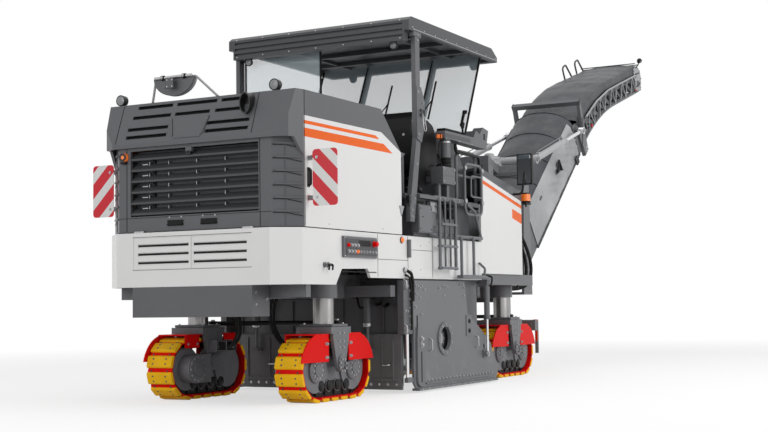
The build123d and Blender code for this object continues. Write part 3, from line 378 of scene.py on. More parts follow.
def coated_cloth(name, colour, crease):
    """Coated tarpaulin: a fine weave under a satin skin, with soft creases, dust, painted fold shade and
    painted lit patches.
    """
    finish = Finish(name)
    warp = finish.node("Math", {"operation": "SINE"}, {0: (finish.x + finish.z) * 2600})
    weft = finish.node("Math", {"operation": "SINE"}, {0: finish.y * 3600})
    fold_bump_and_shade = finish.noise(3.2, 5.0, 0.6)
    # Painted shade and light: the colour darkens and lightens with the same fold noise that bumps the cloth,
    # and paler lit patches are laid over the dust.
    body = finish.tones(fold_bump_and_shade, colour, 0.72, 1.22)
    body = finish.mix(finish.patches(0.5, 0.8, 7.0, 5.0) * 0.14, body, dust_colour)
    body = finish.mix(finish.patches(0.42, 0.62, 1.5, 1.0, 0.3) * 0.28, body, shade(colour, 1.9))
    return finish.surface(body, finish.noise(6.0) * 0.16 + 0.38, warp * weft * 0.02 + fold_bump_and_shade * crease, 0.01,
                          Specular_IOR_Level=0.3)


def side_plate_finish():
    """Grey paint, rubbed bright near the ground, and a chromed lifting rod behind the plate."""
    finish = Finish("side_plate_paint_and_rod")
    rod = (finish.x - rear_face < plate_back) * (finish.z > rod_foot)
    rubbed = (1 - finish.between(finish.z, 0.03, 0.4)) * finish.patches(0.52, 0.66, 9.0)
    paint = finish.mix(rubbed * 0.5, finish.tones(finish.noise(1.7), frame_grey, 0.92, 1.06),
                       (0.34, 0.33, 0.32, 1))
    rough = finish.noise(12.0) * 0.06 + 0.40 - rod * 0.25
    return finish.surface(finish.mix(rod, paint, chrome_tone), rough, finish.noise(90.0, 2.0), 0.00002,
                          metallic=rod)


def yoke_finish():
    """Dark cheeks below, and a pale cast turret on top."""
    finish = Finish("yoke_paint")
    dark = finish.tones(finish.noise(2.0), frame_grey, 0.92, 1.06)
    pale = finish.mix(finish.noise(6.0, 4.0), (0.36, 0.365, 0.37, 1), (0.48, 0.485, 0.49, 1))
    return finish.surface(finish.mix(finish.z > turret_foot, dark, pale), finish.noise(14.0) * 0.08 + 0.36,
                          finish.noise(120.0), 0.00008)


def hood_fittings_finish():
    """Black lamps and exhaust end, and the rear mirror's grey bowl in a bright tube frame."""
    finish = Finish("hood_fittings_paint")
    forward = finish.x - rear_face
    mirror = (finish.z > mirror_foot) * (forward > mirror_back)
    tube = mirror * (forward > tube_back) * (finish.z < tube_top)
    paint = finish.mix(mirror, shade(black), shade(frame_grey, 0.8))
    paint = finish.mix(tube, paint, (0.36, 0.36, 0.365, 1))
    return finish.surface(paint, finish.noise(12.0) * 0.05 + 0.36, finish.noise(90.0), 0.00002)


finishes["hood_fittings"] = hood_fittings_finish()
finishes["side_plate"] = side_plate_finish()
finishes["yoke"] = yoke_finish()
finishes["carrier"] = carrier_finish()
# The amber lens has a painted glow of strength 0.25.
finishes["amber"] = lens("amber_lens", (0.95, 0.20, 0.02), 0.25)
finishes["lamp_glass"] = lens("clear_lamp_lens", (0.22, 0.23, 0.24), 0.0)
finishes["mirror"] = mirror_finish()
finishes["cloth"] = coated_cloth("dark_tarpaulin", (0.066, 0.068, 0.077), 1.0)
finishes["pale_cloth"] = coated_cloth("pale_tarpaulin", (0.40, 0.41, 0.42), 1.6)
print("finishes", len(finishes))

# %% [markdown]
# Each CAD node keeps its mesh and gets one of the finishes. The list gives, for each finish, how the names of
# its nodes start.

# %% Dress the CAD nodes
node_starts = {
    "white": "lower_body", "hood_side": "hood_sides", "front_body": "front_body",
    "warning": "warning_plates", "hood_fittings": "hood_fittings", "glass": "canopy_glass",
    "deep": "hood_grille canopy_roof conveyor_frame_upper", "steel": "milling_drum",
    "grey": "control_box chassis_frame front_bracket scraper_blade rails_and_ladder",
    "cowl": "hood_cowl canopy_posts rear_beam drum_housing primary_conveyor operator_station "
            "platform_deck conveyor_frame_lower conveyor_cover",
    "black": "engine_and_cooler front_mirror tie_rod", "side_plate": "side_plate", "vinyl": "seat_cushions",
    "yoke": "slew_yoke", "rubber": "conveyor_belt", "pale": "luff_barrels", "chrome": "luff_rods",
    "carrier": "track_carrier", "pad": "track_belt", "red": "track_guard",
}


def dress_nodes():
    for name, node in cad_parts.items():
        chosen = [finish for finish, starts in node_starts.items() if name.startswith(tuple(starts.split()))]
        node.data.materials.clear()
        node.data.materials.append(finishes[chosen[0]])


dress_nodes()
print("dressed", len(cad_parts), "nodes")

# %% [markdown]
# Small steel pieces are all plates, blocks, rods and bent tubes. One class collects such forms in a bmesh,
# each with the number of its finish, and turns them into one piece on one body. It works in the drawing's
# millimetres, and a place matrix carries them to the model's metres, so a bracket on the tilted conveyor is
# drawn level.

# %% Places on the machine
slew_x, foot_z, slope = 7000, 1507, math.radians(39.5)
fold_u, frame_below, bend_r, bend_angle = 3100, 157, 4400, math.radians(22.5)


def shift(x, y, z):
    return Matrix.Translation((x, y, z))


def tilt(angle):
    return Matrix.Rotation(angle, 4, "Y")


body_place = shift(rear_face, 0, 0) @ Matrix.Scale(0.001, 4)
conveyor_place = body_place @ shift(slew_x, 0, foot_z) @ tilt(-slope)


def along_bend(distance):
    """The place at a distance along the upper conveyor's frame, x along it and z up from its lower edge."""
    centre = conveyor_place @ shift(fold_u, 0, -frame_below - bend_r)
    turn = min(distance / bend_r, bend_angle)
    rest = max(distance - bend_r * bend_angle, 0)
    return centre @ tilt(turn) @ shift(rest, 0, bend_r)


print("conveyor head at", [round(c, 2) for c in along_bend(3208).translation])

# %% Geometry Nodes trees


def geometry_tree(name, inputs):
    """A tree with named inputs. Returns its graph and the wire of each input."""
    tree = bpy.data.node_groups.new(name, "GeometryNodeTree")
    for title, kind in [("Geometry", "Geometry")] + inputs:
        tree.interface.new_socket(title, in_out="INPUT", socket_type="NodeSocket" + kind)
    tree.interface.new_socket("Geometry", in_out="OUTPUT", socket_type="NodeSocketGeometry")
    graph = Graph(tree, "")
    source = tree.nodes.new("NodeGroupInput")
    wires = {socket.name: Wire(graph, socket) for socket in source.outputs if socket.name}
    return graph, wires


def close_tree(graph, geometry, finish):
    """Ends a tree in real geometry with one material."""
    real = graph.node("GeometryNodeRealizeInstances", {}, {0: geometry})
    painted_form = graph.node("GeometryNodeSetMaterial", {}, {"Geometry": real, "Material": finish})
    graph.node("NodeGroupOutput", {}, {0: painted_form})
    return graph.tree


def bent_tube_tree():
    """Straight runs, rounded at their corners, with a round wall."""
    graph, wires = geometry_tree("bent_tube", [("Radius", "Float"), ("Bend", "Float"), ("Sides", "Int"),
                                               ("Finish", "Material")])
    runs = graph.node("GeometryNodeMeshToCurve", {}, {0: wires["Geometry"]})
    rounded = graph.node("GeometryNodeFilletCurve", {"mode": "POLY"},
                         {"Curve": runs, "Count": 6, "Radius": wires["Bend"], "Limit Radius": True})
    ring = graph.node("GeometryNodeCurvePrimitiveCircle", {}, {"Resolution": wires["Sides"],
                                                               "Radius": wires["Radius"]})
    wall = graph.node("GeometryNodeCurveToMesh", {}, {"Curve": rounded, "Profile Curve": ring,
                                                      "Fill Caps": True})
    return close_tree(graph, wall, wires["Finish"])


def repeat_form(graph, wires, points, facing, settings):
    """One small form on every point, turned so that an axis of its own follows a direction."""
    turn = graph.node("FunctionNodeAlignRotationToVector", settings, {"Vector": facing})
    form = graph.node("GeometryNodeObjectInfo", {}, {"Object": wires["Form"]}, "Geometry")
    placed = graph.node("GeometryNodeInstanceOnPoints", {},
                        {"Points": points, "Instance": form, "Rotation": turn})
    return close_tree(graph, placed, wires["Finish"])


def scatter_tree():
    """One small form on every point, its own z axis along the point's facing."""
    graph, wires = geometry_tree("scatter", [("Form", "Object"), ("Finish", "Material")])
    facing = graph.node("GeometryNodeInputNamedAttribute", {"data_type": "FLOAT_VECTOR"}, {"Name": "facing"})
    return repeat_form(graph, wires, wires["Geometry"], facing, {"axis": "Z"})


def chain_loop_tree():
    """One form repeated round an upright loop with straight sides and round ends."""
    graph, wires = geometry_tree("chain_loop", [("Straight", "Float"), ("Radius", "Float"), ("Count", "Int"),
                                                ("Form", "Object"), ("Finish", "Material")])
    across = wires["Radius"] * 2
    outline = graph.node("GeometryNodeCurvePrimitiveQuadrilateral", {}, {"Width": wires["Straight"] + across,
                                                                         "Height": across})
    rounded = graph.node("GeometryNodeFilletCurve", {"mode": "POLY"},
                         {"Curve": outline, "Count": 24, "Radius": wires["Radius"] * 0.9999,
                          "Limit Radius": True})
    upright = graph.node("GeometryNodeTransform", {}, {"Geometry": rounded, "Rotation": (-math.pi / 2, 0, 0)})
    steps = graph.node("GeometryNodeResampleCurve", {}, {"Curve": upright, "Count": wires["Count"]})
    tangent = graph.node("GeometryNodeInputTangent")
    return repeat_form(graph, wires, steps, tangent, {"axis": "X", "pivot_axis": "Y"})


tube_tree = bent_tube_tree()
point_tree = scatter_tree()
loop_tree = chain_loop_tree()
print("trees", [group.name for group in bpy.data.node_groups])

# %% Running a tree


def run_tree(tree, mesh, values):
    """The plain mesh that a tree makes from a mesh with these inputs."""
    carrier = new_object("tree_carrier", mesh)
    modifier = carrier.modifiers.new("nodes", "NODES")
    modifier.node_group = tree
    for socket in tree.interface.items_tree:
        if socket.in_out == "INPUT" and socket.name in values:
            modifier[socket.identifier] = values[socket.name]
    carrier.update_tag()
    made = plain_mesh(carrier)
    bpy.data.objects.remove(carrier)
    return made


# %% [markdown]
# Many outlines are arcs, and many bolts stand in circles, so one small function lists points round a centre.
# Faces that join one ring of corners to the next make prisms, turned forms and strips alike.

# %% Points and collected forms


def around(count, radius, start=0.0, span=360.0, centre=(0, 0), steps=None):
    """Points round a centre, from a start angle in degrees. A full circle leaves out its last point."""
    points = []
    for index in range(count):
        angle = math.radians(start + span * index / (steps or count))
        points.append((centre[0] + radius * math.cos(angle), centre[1] + radius * math.sin(angle)))
    return points


def sided(side, near, far):
    """The low and high y of something between two distances from the middle, on one side."""
    return sorted((side * near, side * far))


class Shape:
    """Forms in drawing millimetres that become one piece on one body."""

    def __init__(self, place=body_place):
        self.form = bmesh.new()
        self.place = place

    def soften(self, verts, slot, bevel):
        for face in {face for vert in verts for face in vert.link_faces}:
            face.material_index = slot
        if bevel:
            edges = list({edge for vert in verts for edge in vert.link_edges})
            bmesh.ops.bevel(self.form, geom=edges, offset=bevel, segments=2, profile=0.7, affect="EDGES")

    def skin(self, rings, slot=0, caps_first=True):
        """Joins rings of points with faces, and closes the first and the last."""
        rings = [[self.form.verts.new(point) for point in ring] for ring in rings]
        caps = [rings[0][::-1], rings[-1]]
        walls = []
        for lower, upper in zip(rings, rings[1:]):
            for step in range(len(lower)):
                after = (step + 1) % len(lower)
                walls.append((lower[step], lower[after], upper[after], upper[step]))
        faces = [self.form.faces.new(corners) for corners in (caps + walls if caps_first else walls + caps)]
        for face in faces:
            face.material_index = slot
        bmesh.ops.recalc_face_normals(self.form, faces=faces)
        return rings

    def box(self, x0, x1, y0, y1, z0, z1, slot=0, bevel=4):
        bevel = min(bevel, 0.35 * min(x1 - x0, y1 - y0, z1 - z0))
        verts = bmesh.ops.create_cube(self.form, size=1)["verts"]
        for vert in verts:
            vert.co = [low if c < 0 else high for c, low, high in zip(vert.co, (x0, y0, z0), (x1, y1, z1))]
        self.soften(verts, slot, bevel)

    def prism(self, outline, axis, low, high, slot=0, bevel=3):
        """An outline drawn across an axis: (y, z) points for x, (x, z) for y and (x, y) for z."""
        index = "xyz".index(axis)
        rings = [[(*point[:index], depth, *point[index:]) for point in outline] for depth in (low, high)]
        first, last = self.skin(rings)
        self.soften(first + last, slot, bevel)

    def rod(self, start, end, radius, slot=0, sides=20, bevel=0):
        start, end = Vector(start), Vector(end)
        along = end - start
        place = Matrix.Translation((start + end) / 2) @ along.to_track_quat("Z", "Y").to_matrix().to_4x4()
        verts = bmesh.ops.create_cone(self.form, cap_ends=True, segments=sides, radius1=radius,
                                      radius2=radius, depth=along.length, matrix=place)["verts"]
        faces = {face for vert in verts for face in vert.link_faces}
        for face in faces:
            face.material_index = slot
        if bevel:
            rims = list({edge for face in faces if len(face.verts) > 4 for edge in face.edges})
            bmesh.ops.bevel(self.form, geom=rims, offset=bevel, segments=2, affect="EDGES")

    def lathe(self, profile, start, along, slot=0, sides=28):
        """A closed (radius, height) profile turned about an axis from a point."""
        turn = Vector(along).to_track_quat("Z", "Y").to_matrix()
        self.skin([[Vector(start) + turn @ Vector((*point, height)) for point in around(sides, radius)]
                   for radius, height in profile], slot, caps_first=False)

    def absorb(self, mesh, slot=0, place=Matrix()):
        """Adds a mesh, moved by a place, with one finish."""
        mesh.transform(place)
        mesh.polygons.foreach_set("material_index", [slot] * len(mesh.polygons))
        self.form.from_mesh(mesh)
        bpy.data.meshes.remove(mesh)

    def tube(self, points, radius, bend=60, slot=0, sides=12, closed=False):
        runs = bpy.data.meshes.new("runs")
        edges = [(index, index + 1) for index in range(len(points) - 1)]
        if closed:
            edges.append((len(points) - 1, 0))
        runs.from_pydata(points, edges, [])
        values = {"Radius": float(radius), "Bend": float(bend), "Sides": sides}
        self.absorb(run_tree(tube_tree, runs, values), slot)

    def scatter(self, points, facing, form, slot=0):
        """Repeats a small form on points that all face one way."""
        dots = bpy.data.meshes.new("dots")
        dots.from_pydata(points, [], [])
        attribute = dots.attributes.new("facing", "FLOAT_VECTOR", "POINT")
        attribute.data.foreach_set("vector", list(facing) * len(points))
        self.absorb(run_tree(point_tree, dots, {"Form": form}), slot)

    def on_side(self, side, y, places, form, slot=0):
        """Repeats a small form on (x, z) places of an upright face that looks outwards."""
        self.scatter([(x, side * y, z) for x, z in places], (0, side, 0), form, slot)

    def copied(self, mirror_y=False):
        """A mesh of the forms so far, in metres, mirrored to the other side if asked."""
        mesh = bpy.data.meshes.new("form")
        self.form.to_mesh(mesh)
        mesh.transform(Matrix.Diagonal((1, -1, 1, 1)) @ self.place if mirror_y else self.place)
        if mirror_y:
            mesh.flip_normals()
        return mesh

    def piece(self, name, body, *names, mirror_y=False):
        """Makes the object, with the named finishes, on one body."""
        mesh = self.copied(mirror_y)
        for finish in names:
            mesh.materials.append(finishes[finish])
        smooth_shading(mesh)
        mesh.set_sharp_from_angle(angle=math.radians(35))
        made = new_object(name, mesh)
        even = made.modifiers.new("even_normals", "WEIGHTED_NORMAL")
        even.keep_sharp = True
        settle(made)
        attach(made, body)
        return made

    def on_both_sides(self, name, body, *names):
        """One piece on each side of the machine, drawn on the right."""
        self.piece(name + "_right", body, *names)
        self.piece(name + "_left", body, *names, mirror_y=True)


# %% [markdown]
# Bolts are the most repeated piece of all. One hexagon head with its washer, some forty faces, is drawn once
# and set on rows of points.

# %% A bolt and a rivet to repeat


def small_form(name, draw):
    """A hidden object in millimetres that a tree repeats."""
    shape = Shape(Matrix())
    draw(shape)
    return bpy.data.objects.new(name, shape.copied())


def draw_bolt(shape):
    shape.rod((0, 0, -2), (0, 0, 3), 15, sides=12)
    shape.rod((0, 0, 3), (0, 0, 12), 10.5, sides=6, bevel=1.5)


bolt = small_form("hexagon_bolt", draw_bolt)
rivet = small_form("rivet", lambda shape: shape.lathe([(8, 0), (7, 3), (3, 5)], (0, 0, 0), (0, 0, 1),
                                                      sides=10))
print("bolt faces", len(bolt.data.polygons))

# %% [markdown]
# Each crawler is a chain of forged links with a red steel shoe on every link and a yellow polyurethane pad
# bolted to the shoe. A rule gives its shape: one loop with straight sides and round ends, so one tree repeats
# the pad, the shoe, the link and the bolts round it, in four runs because each run has its own finish.

# %% Crawler shoes, pads and links
straight, track_radius, shoe_total = 710, 308, 19
shoe_pitch = (2 * straight + 2 * math.pi * track_radius) / shoe_total
track_half = 153
track_y = 760
crawlers = [(end + "_" + side_name, axle_x, side) for end, axle_x in (("rear", 1150), ("front", 5570))
            for side_name, side in (("right", -1), ("left", 1))]


def draw_pad(shape):
    half = shoe_pitch * 0.34
    profile = [(-half, -34), (half, -34), (half + 4, -20), (half - 2, -8), (half - 15, 0), (-half + 15, 0),
               (-half + 2, -8), (-half - 4, -20)]
    shape.prism(profile, "y", -track_half, track_half, bevel=6)


def draw_shoe(shape):
    half = shoe_pitch * 0.475
    shape.box(-half, half, -track_half + 4, track_half - 4, -46, -33, bevel=3)
    shape.box(half - 30, half - 4, -track_half + 6, track_half - 6, -34, -22, bevel=3)


def draw_link(shape):
    half = shoe_pitch * 0.56
    for y in (-66, 66):
        profile = [(-half, -62), (-half + 24, -46), (half - 24, -46), (half, -62), (half, -92),
                   (half - 26, -108), (-half + 26, -108), (-half, -92)]
        shape.prism(profile, "y", y - 13, y + 13, bevel=3)
    shape.rod((half - 12, -96, -78), (half - 12, 96, -78), 17, sides=12, bevel=3)


def draw_pad_bolts(shape):
    for x in (-26, 26):
        for y in (-78, 78):
            shape.rod((x, y, -4), (x, y, 0.5), 12, sides=6, bevel=1)
    for y in (-100, 100):
        shape.rod((shoe_pitch * 0.42, y, -36), (shoe_pitch * 0.42, y, -16), 9, sides=6, bevel=1)


def build_track(name, axle_x, side):
    track = Shape()
    loop = {"Straight": float(straight), "Radius": float(track_radius), "Count": shoe_total}
    place = shift(axle_x, side * track_y, track_radius + 2)
    for slot, draw in enumerate((draw_pad, draw_shoe, draw_link, draw_pad_bolts)):
        form = small_form(draw.__name__, draw)
        track.absorb(run_tree(loop_tree, bpy.data.meshes.new("empty"), {**loop, "Form": form}), slot, place)
    made = track.piece("track_chain_" + name, "track_" + name, "pad", "red", "black", "deep")
    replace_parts(made, "track_belt_" + name)


for crawler in crawlers:
    build_track(*crawler)
print("tracks of", shoe_total, "shoes, pitch", round(shoe_pitch), "mm")

# %% [markdown]
# The carriers are heavy castings. The CAD gives the fork, the roller frame, the wheels and the motor housing;
# the workshop's share is what bolts to them: the pivot's ring, the bolt circles, the roller caps, the covers
# and the hoses' blocks. Every crawler is alike, so one drawing serves all four, mirrored to face outwards.

# %% Carrier fittings


def build_carrier(name, axle_x, side):
    """Pivot ring, caps and bolts about one crawler; side is -1 on the right."""
    parts = Shape()
    middle = side * track_y
    leg = track_y + 165 + 34
    wheel_x, wheel_z = 355, 310
    out, inwards = (0, side, 0), (0, -side, 0)
    ring = [(72, 0), (72, 14), (60, 20), (48, 14), (48, 4), (30, 4), (30, 16), (24, 20)]
    parts.lathe(ring, (axle_x, side * leg, 345), out)
    parts.on_side(side, leg + 20, around(8, 60, math.degrees(0.3), centre=(axle_x, 345)), bolt, 1)
    for x in (-40, 40):
        parts.on_side(side, leg, [(axle_x + x, z) for z in (520, 580, 660)], bolt, 1)
    roller_cap = [(52, 0), (52, 16), (34, 26), (14, 26)]
    for x in (-240, -80, 80, 240):
        parts.lathe(roller_cap, (axle_x + x, middle + side * 99, 153), out, 2)
        parts.lathe(roller_cap, (axle_x + x, middle - side * 99, 153), inwards, 2)
    for x in (-wheel_x, wheel_x):
        parts.lathe([(120, 0), (120, 20), (96, 34), (60, 34), (60, 44), (26, 50)],
                    (axle_x + x, middle + side * 109, wheel_z), out)
        parts.on_side(side, track_y + 143, around(10, 80, centre=(axle_x + x, wheel_z)), bolt, 1)
    motor_x, motor_y = axle_x - wheel_x, middle - side * 250
    parts.lathe([(128, 0), (128, 8), (112, 14), (70, 14), (70, 26), (40, 30)], (motor_x, motor_y, wheel_z),
                inwards)
    cover = [(x, motor_y - side * 9, z) for x, z in around(12, 118, centre=(motor_x, wheel_z))]
    parts.scatter(cover, inwards, rivet, 1)
    parts.box(axle_x - 150, axle_x + 150, middle - 188, middle + 188, 721, 748, 0, 8)
    for x in (-120, 120):
        parts.scatter([(axle_x + x, middle + y, 748) for y in (-150, 150)], (0, 0, 1), bolt, 1)
    near, far = sided(side, track_y - 290, track_y - 400)
    parts.box(axle_x - 60, axle_x + 120, near, far, 480, 585, 2, 8)
    parts.rod((axle_x + 30, near - 40, 532), (axle_x + 30, far + 40, 532), 26, 3, bevel=3)
    parts.piece("carrier_fittings_" + name, "track_" + name, "grey", "steel", "black", "chrome")


for crawler in crawlers:
    build_carrier(*crawler)
print("carrier fittings on four crawlers")

# %% [markdown]
# The red guards are plain pressed plates. Their bolts and rolled edges are all that can be added.

# %% Guard bolts and edges


def build_guard_trim(name, axle_x, side):
    trim = Shape()
    face_y = side * (track_y + 171)
    for way in (-1, 1):
        trim.on_side(side, track_y + 171, [(axle_x + way * x, z) for x in (215, 245) for z in (430, 560)],
                     bolt, 1)
        inner = [(axle_x + way * x, side * (track_y - 171), 560) for x in (250, 400)]
        trim.scatter(inner, (0, -side, 0), bolt, 1)
        low, high = sorted((axle_x + way * 200, axle_x + way * 460))
        trim.box(low, high, face_y - 4, face_y + 4, 388, 396, 0, 2)
    trim.piece("guard_trim_" + name, "track_" + name, "red", "steel")


for crawler in crawlers:
    build_guard_trim(*crawler)
print("guard trim done")

# %% [markdown]
# The hood's rear is a moulded cap over a louvred opening. On the sloping panel sits a blank trapezoid plate
# between two raised ribs. A place that leans with the slope lets the plate be drawn flat. Seams between the
# moulded panels are thin dark strips let into the surface, which reads as a shadow gap from a few steps away.

# %% Cap plate, seams and fittings on the hood
hood_y = 1108
cap_foot, cap_run, cap_rise = 2520, 150, 410
slope_place = body_place @ shift(0, 0, cap_foot) @ tilt(math.atan2(cap_run, cap_rise))


def build_cap_plate():
    cap = Shape(slope_place)
    cap.prism([(262, 232), (-152, 232), (-105, 20), (202, 20)], "x", -7, 2)
    cap.prism([(286, 236), (266, 236), (212, 46), (230, 46)], "x", -16, 1, 0, 4)
    cap.prism([(-156, 236), (-172, 236), (-130, 46), (-116, 46)], "x", -12, 1, 0, 4)
    for y in (-690, 905):
        cap.box(-3, 1, y - 2.5, y + 2.5, 9, 425, 1, 0)
    # Each row is a cowl lip over a louvre slot and a black plate behind the slot: painted shade, so the slot
    # reads dark.
    slot_lips_and_shade_plates = ((388, 300, 720), (388, -220, 250), (388, -510, -270), (282, 300, 760), (282, -160, 250),
              (282, -510, -220), (154, 300, 790), (154, -640, -150), (69, 300, 790), (69, -640, -150))
    for z, y0, y1 in slot_lips_and_shade_plates:
        cap.box(-2.5, 6, y0 - 8, y1 + 8, z + 18, z + 24, 0, 1)
        cap.box(28, 34, y0 - 4, y1 + 4, z - 30, z + 30, 1, 0)
    cap.piece("cap_plate_and_seams", "hood", "cowl", "black")


def build_hood_rear():
    rear = Shape()
    for y in (205, -185):
        rear.tube([(32, y - 88, 1722), (16, y - 76, 1722), (16, y + 76, 1722), (32, y + 88, 1722)], 8, 12, 1)
        rear.box(36, 40.5, y - 96, y + 96, 1705, 1765, 1, 2)
        rear.scatter([(39, y + 70, 1790), (39, y - 70, 1790)], (-1, 0, 0), rivet, 2)
    rear.box(26, 70, 6, 76, 2408, 2452, 0, 5)
    rear.box(20, 34, 20, 62, 2385, 2416, 1, 3)
    for y in (-760, 790):
        rear.box(37, 41, y - 2.5, y + 2.5, 1665, 2478, 1, 0)
    rear.box(37, 41, -880, 880, 1795, 1799, 1, 0)
    for side in (-1, 1):
        rear.box(255, 262, *sided(side, hood_y, hood_y + 4), 1665, 2925, 1, 0)
        handle = ((hood_y, 2045), (hood_y + 32, 2045), (hood_y + 32, 2190), (hood_y, 2190))
        rear.tube([(318, side * y, z) for y, z in handle], 11, 16, 1)
        rear.box(296, 340, *sided(side, hood_y, hood_y + 10), 2025, 2210, 1)
        rear.on_side(side, hood_y + 2, [(690, 1700), (1760, 1700)], rivet, 2)
    for y in (-640, 620):
        rear.box(10, 46, y - 60, y + 60, 1650, 1668, 2, 3)
    rear.piece("hood_rear_handles", "hood", "cowl", "black", "steel")


build_cap_plate()
build_hood_rear()
print("hood rear dressed")

# %% [markdown]
# Behind the blades the cooler shows as a mesh of fins with a few bright pipe ends. The many fins are alike,
# so the tree sets them on points and each has only six faces.

# %% Cooler behind the blades


def build_cooler():
    cooler = Shape()
    cooler.box(152, 160, -742, 742, 1815, 2445, 0, 0)
    fin = small_form("cooler_fin", lambda shape: shape.box(-3, 3, -2, 2, -300, 300, 0, 0))
    cooler.scatter([(150, -730 + 20 * step, 2130) for step in range(74)], (0, 0, 1), fin, 1)
    for z in (1905, 2012, 2118, 2225, 2332):
        for y in (-330, 0.0, 330, 560):
            cooler.box(100, 134, y - 4, y + 4, z - 40, z + 10, 2, 1)
        cooler.box(112, 134, 585, 660, z - 30, z - 2, 2, 3)
    cooler.rod((128, 520, 1830), (128, 520, 2430), 16, 0, bevel=3)
    cooler.rod((120, -120, 1862), (120, 160, 1872), 12, 2, bevel=2)
    cooler.piece("cooler_fins", "hood", "black", "deep", "steel")


build_cooler()
print("cooler dressed")

# %% [markdown]
# Work lamps, an amber lamp and the half-round mirror stand on the hood. A lamp is turned like clay on a
# wheel: a dished housing with its rim and a ribbed lens, each a closed outline spun about the lamp's axis.

# %% Lamps and the rear mirror


def lamp(shape, place, along, radius, depth, housing, lens_slot):
    shape.lathe([(radius * 0.35, depth), (radius * 0.8, depth * 0.7), (radius, depth * 0.25), (radius, 0),
                 (radius * 0.9, -3), (radius * 0.86, 1)], place, [-c for c in along], housing)
    shape.lathe([(radius * 0.86, -1), (radius * 0.6, 6), (radius * 0.25, 9), (2, 10)], place, along,
                lens_slot)


def build_lamps():
    lamps = Shape()
    for y in (960, -850):
        lamp(lamps, (148, y, 2985), (-1, 0, 0), 55, 30, 0, 1)
        lamps.box(160, 190, y - 20, y + 20, 2925, 2960)
    lamps.lathe([(44, 0), (46, 20), (43, 32), (30, 37), (6, 38)], (38.5, 815, 2395), (-1, 0, 0), 2, 32)
    lamps.box(8, 40, 780, 850, 2336, 2352)
    lamps.box(4, 44, 790, 840, 2330, 2352)
    bar_x, bar_z = 352, 3205
    lamps.tube([(bar_x, 690, bar_z), (bar_x, 240, bar_z)], 17, 0, 3)
    for y in (330, 590):
        lamps.rod((bar_x, y - 22, bar_z), (bar_x, y + 22, bar_z), 25, 0, bevel=4)
        lamps.scatter([(bar_x - 22, y, bar_z)], (-1, 0, 0), bolt, 3)
    lamps.box(296, 304, 420, 520, 3085, 3190, 4, 6)
    lamps.scatter([(298, y, z) for y in (440, 500) for z in (3105, 3170)], (-1, 0, 0), rivet, 3)
    lamps.piece("hood_lamps_and_mirror_clamps", "hood", "black", "lamp_glass", "amber", "steel", "cowl")
    glass = Shape()
    half_round = [(465 + 222 * across, 3194 + 156 * up) for across, up in around(17, 1, 180, 180, steps=16)]
    glass.prism(half_round, "x", 382, 388, 0, 0)
    glass.piece("rear_mirror_glass", "hood", "mirror")


build_lamps()
print("lamps and mirror on the hood")

# %% [markdown]
# The warning plates are thin sheets with rounded corners. They replace the CAD's square ones, on the same
# stays.

# %% Warning plates


def rounded_plate(y0, y1, z0, z1, radius):
    points = []
    for y, z, start in ((y1 - radius, z1 - radius, 0), (y0 + radius, z1 - radius, 90),
                        (y0 + radius, z0 + radius, 180), (y1 - radius, z0 + radius, 270)):
        points += around(5, radius, start, 90, (y, z), steps=4)
    return points


def build_warning_plates():
    plates = Shape()
    for side in (-1, 1):
        plates.prism(rounded_plate(*sided(side, 1170, 1435), 1846, 2371, 34), "x", 297, 303, 0, 1)
        for z in (1925, 2295):
            plates.box(303, 330, *sided(side, 1110, 1250), z - 24, z + 24, 1)
            plates.scatter([(297, side * 1215, z)], (-1, 0, 0), bolt, 2)
            plates.scatter([(303.5, side * 1380, z)], (1, 0, 0), rivet, 2)
    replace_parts(plates.piece("warning_plates_rounded", "hood", "warning", "grey", "steel"), "warning_plates")


build_warning_plates()
print("warning plates")

# %% [markdown]
# The lower skirts carry the service fittings: drain taps, the control box with its push buttons, louvred
# cooling slots, reflectors and panel seams. The slots are cut in the CAD; a black plate behind them, black
# bars in their upper part and grey strips along their top edges are painted shade, so they read as openings.

# %% Skirt fittings
skirt_y, button_y = 1110, -1145


def build_skirt():
    skirt = Shape()
    # Painted shade: a black plate behind the louvre slots.
    skirt.box(31, 36, -672, 672, 1305, 1595, 1, 0)
    for y in (-330, 330):
        for z in (1350, 1432, 1514):
            # Painted shade in each slot: a black bar in its upper part and a grey strip along its top edge.
            skirt.box(12, 20, y - 299, y + 299, z, z + 18, 1, 0)
            skirt.box(4, 10, y - 303, y + 303, z + 19, z + 26, 4, 2)
    for z in (1606, 1290):
        skirt.box(-1.5, 2, -690, 690, z, z + 4, 1, 0)
    skirt.box(-1.5, 2, -4, 4, 1300, 1600, 0, 0)
    for side in (-1, 1):
        face = sided(side, skirt_y, skirt_y + 2)
        for x in (1640, 2305, 2885):
            skirt.box(x - 2, x + 2, *face, 1215, 1645, 1, 0)
        for x0, x1, z in ((2305, 2885, 1505), (1640, 2300, 1390)):
            skirt.box(x0, x1, *face, z - 2, z + 2, 1, 0)
        skirt.on_side(side, skirt_y, ((2380, 1600), (2380, 1290), (2810, 1600), (2600, 1555), (2600, 1300)),
                      rivet, 2)
        skirt.lathe([(30, 0), (30, 8), (24, 22), (10, 28)], (2165, side * skirt_y, 1600), (0, side, 0), 3)
        skirt.lathe([(36, 0), (36, 5), (30, 9)], (2165, side * skirt_y, 1600), (0, side, 0), 1)
        skirt.tube([(2300, side * (skirt_y + 22), z) for z in (1420, 1610)], 20, 0, 4, 16)
        for x in (590, 655):
            tap = ((x, 40, 1312), (x, 58, 1312), (x - 10, 58, 1262))
            skirt.lathe([(26, 0), (26, 12), (14, 16), (14, 44)], (x, side * skirt_y, 1312), (0, side, 0), 4)
            skirt.tube([(x, side * (skirt_y + out), z) for x, out, z in tap], 9, 12, 1)
        skirt.box(900, 1600, *sided(side, skirt_y, skirt_y + 6), 1250, 1258, 1, 0)
    skirt.piece("skirt_fittings", "machine", "white", "black", "steel", "amber", "grey")


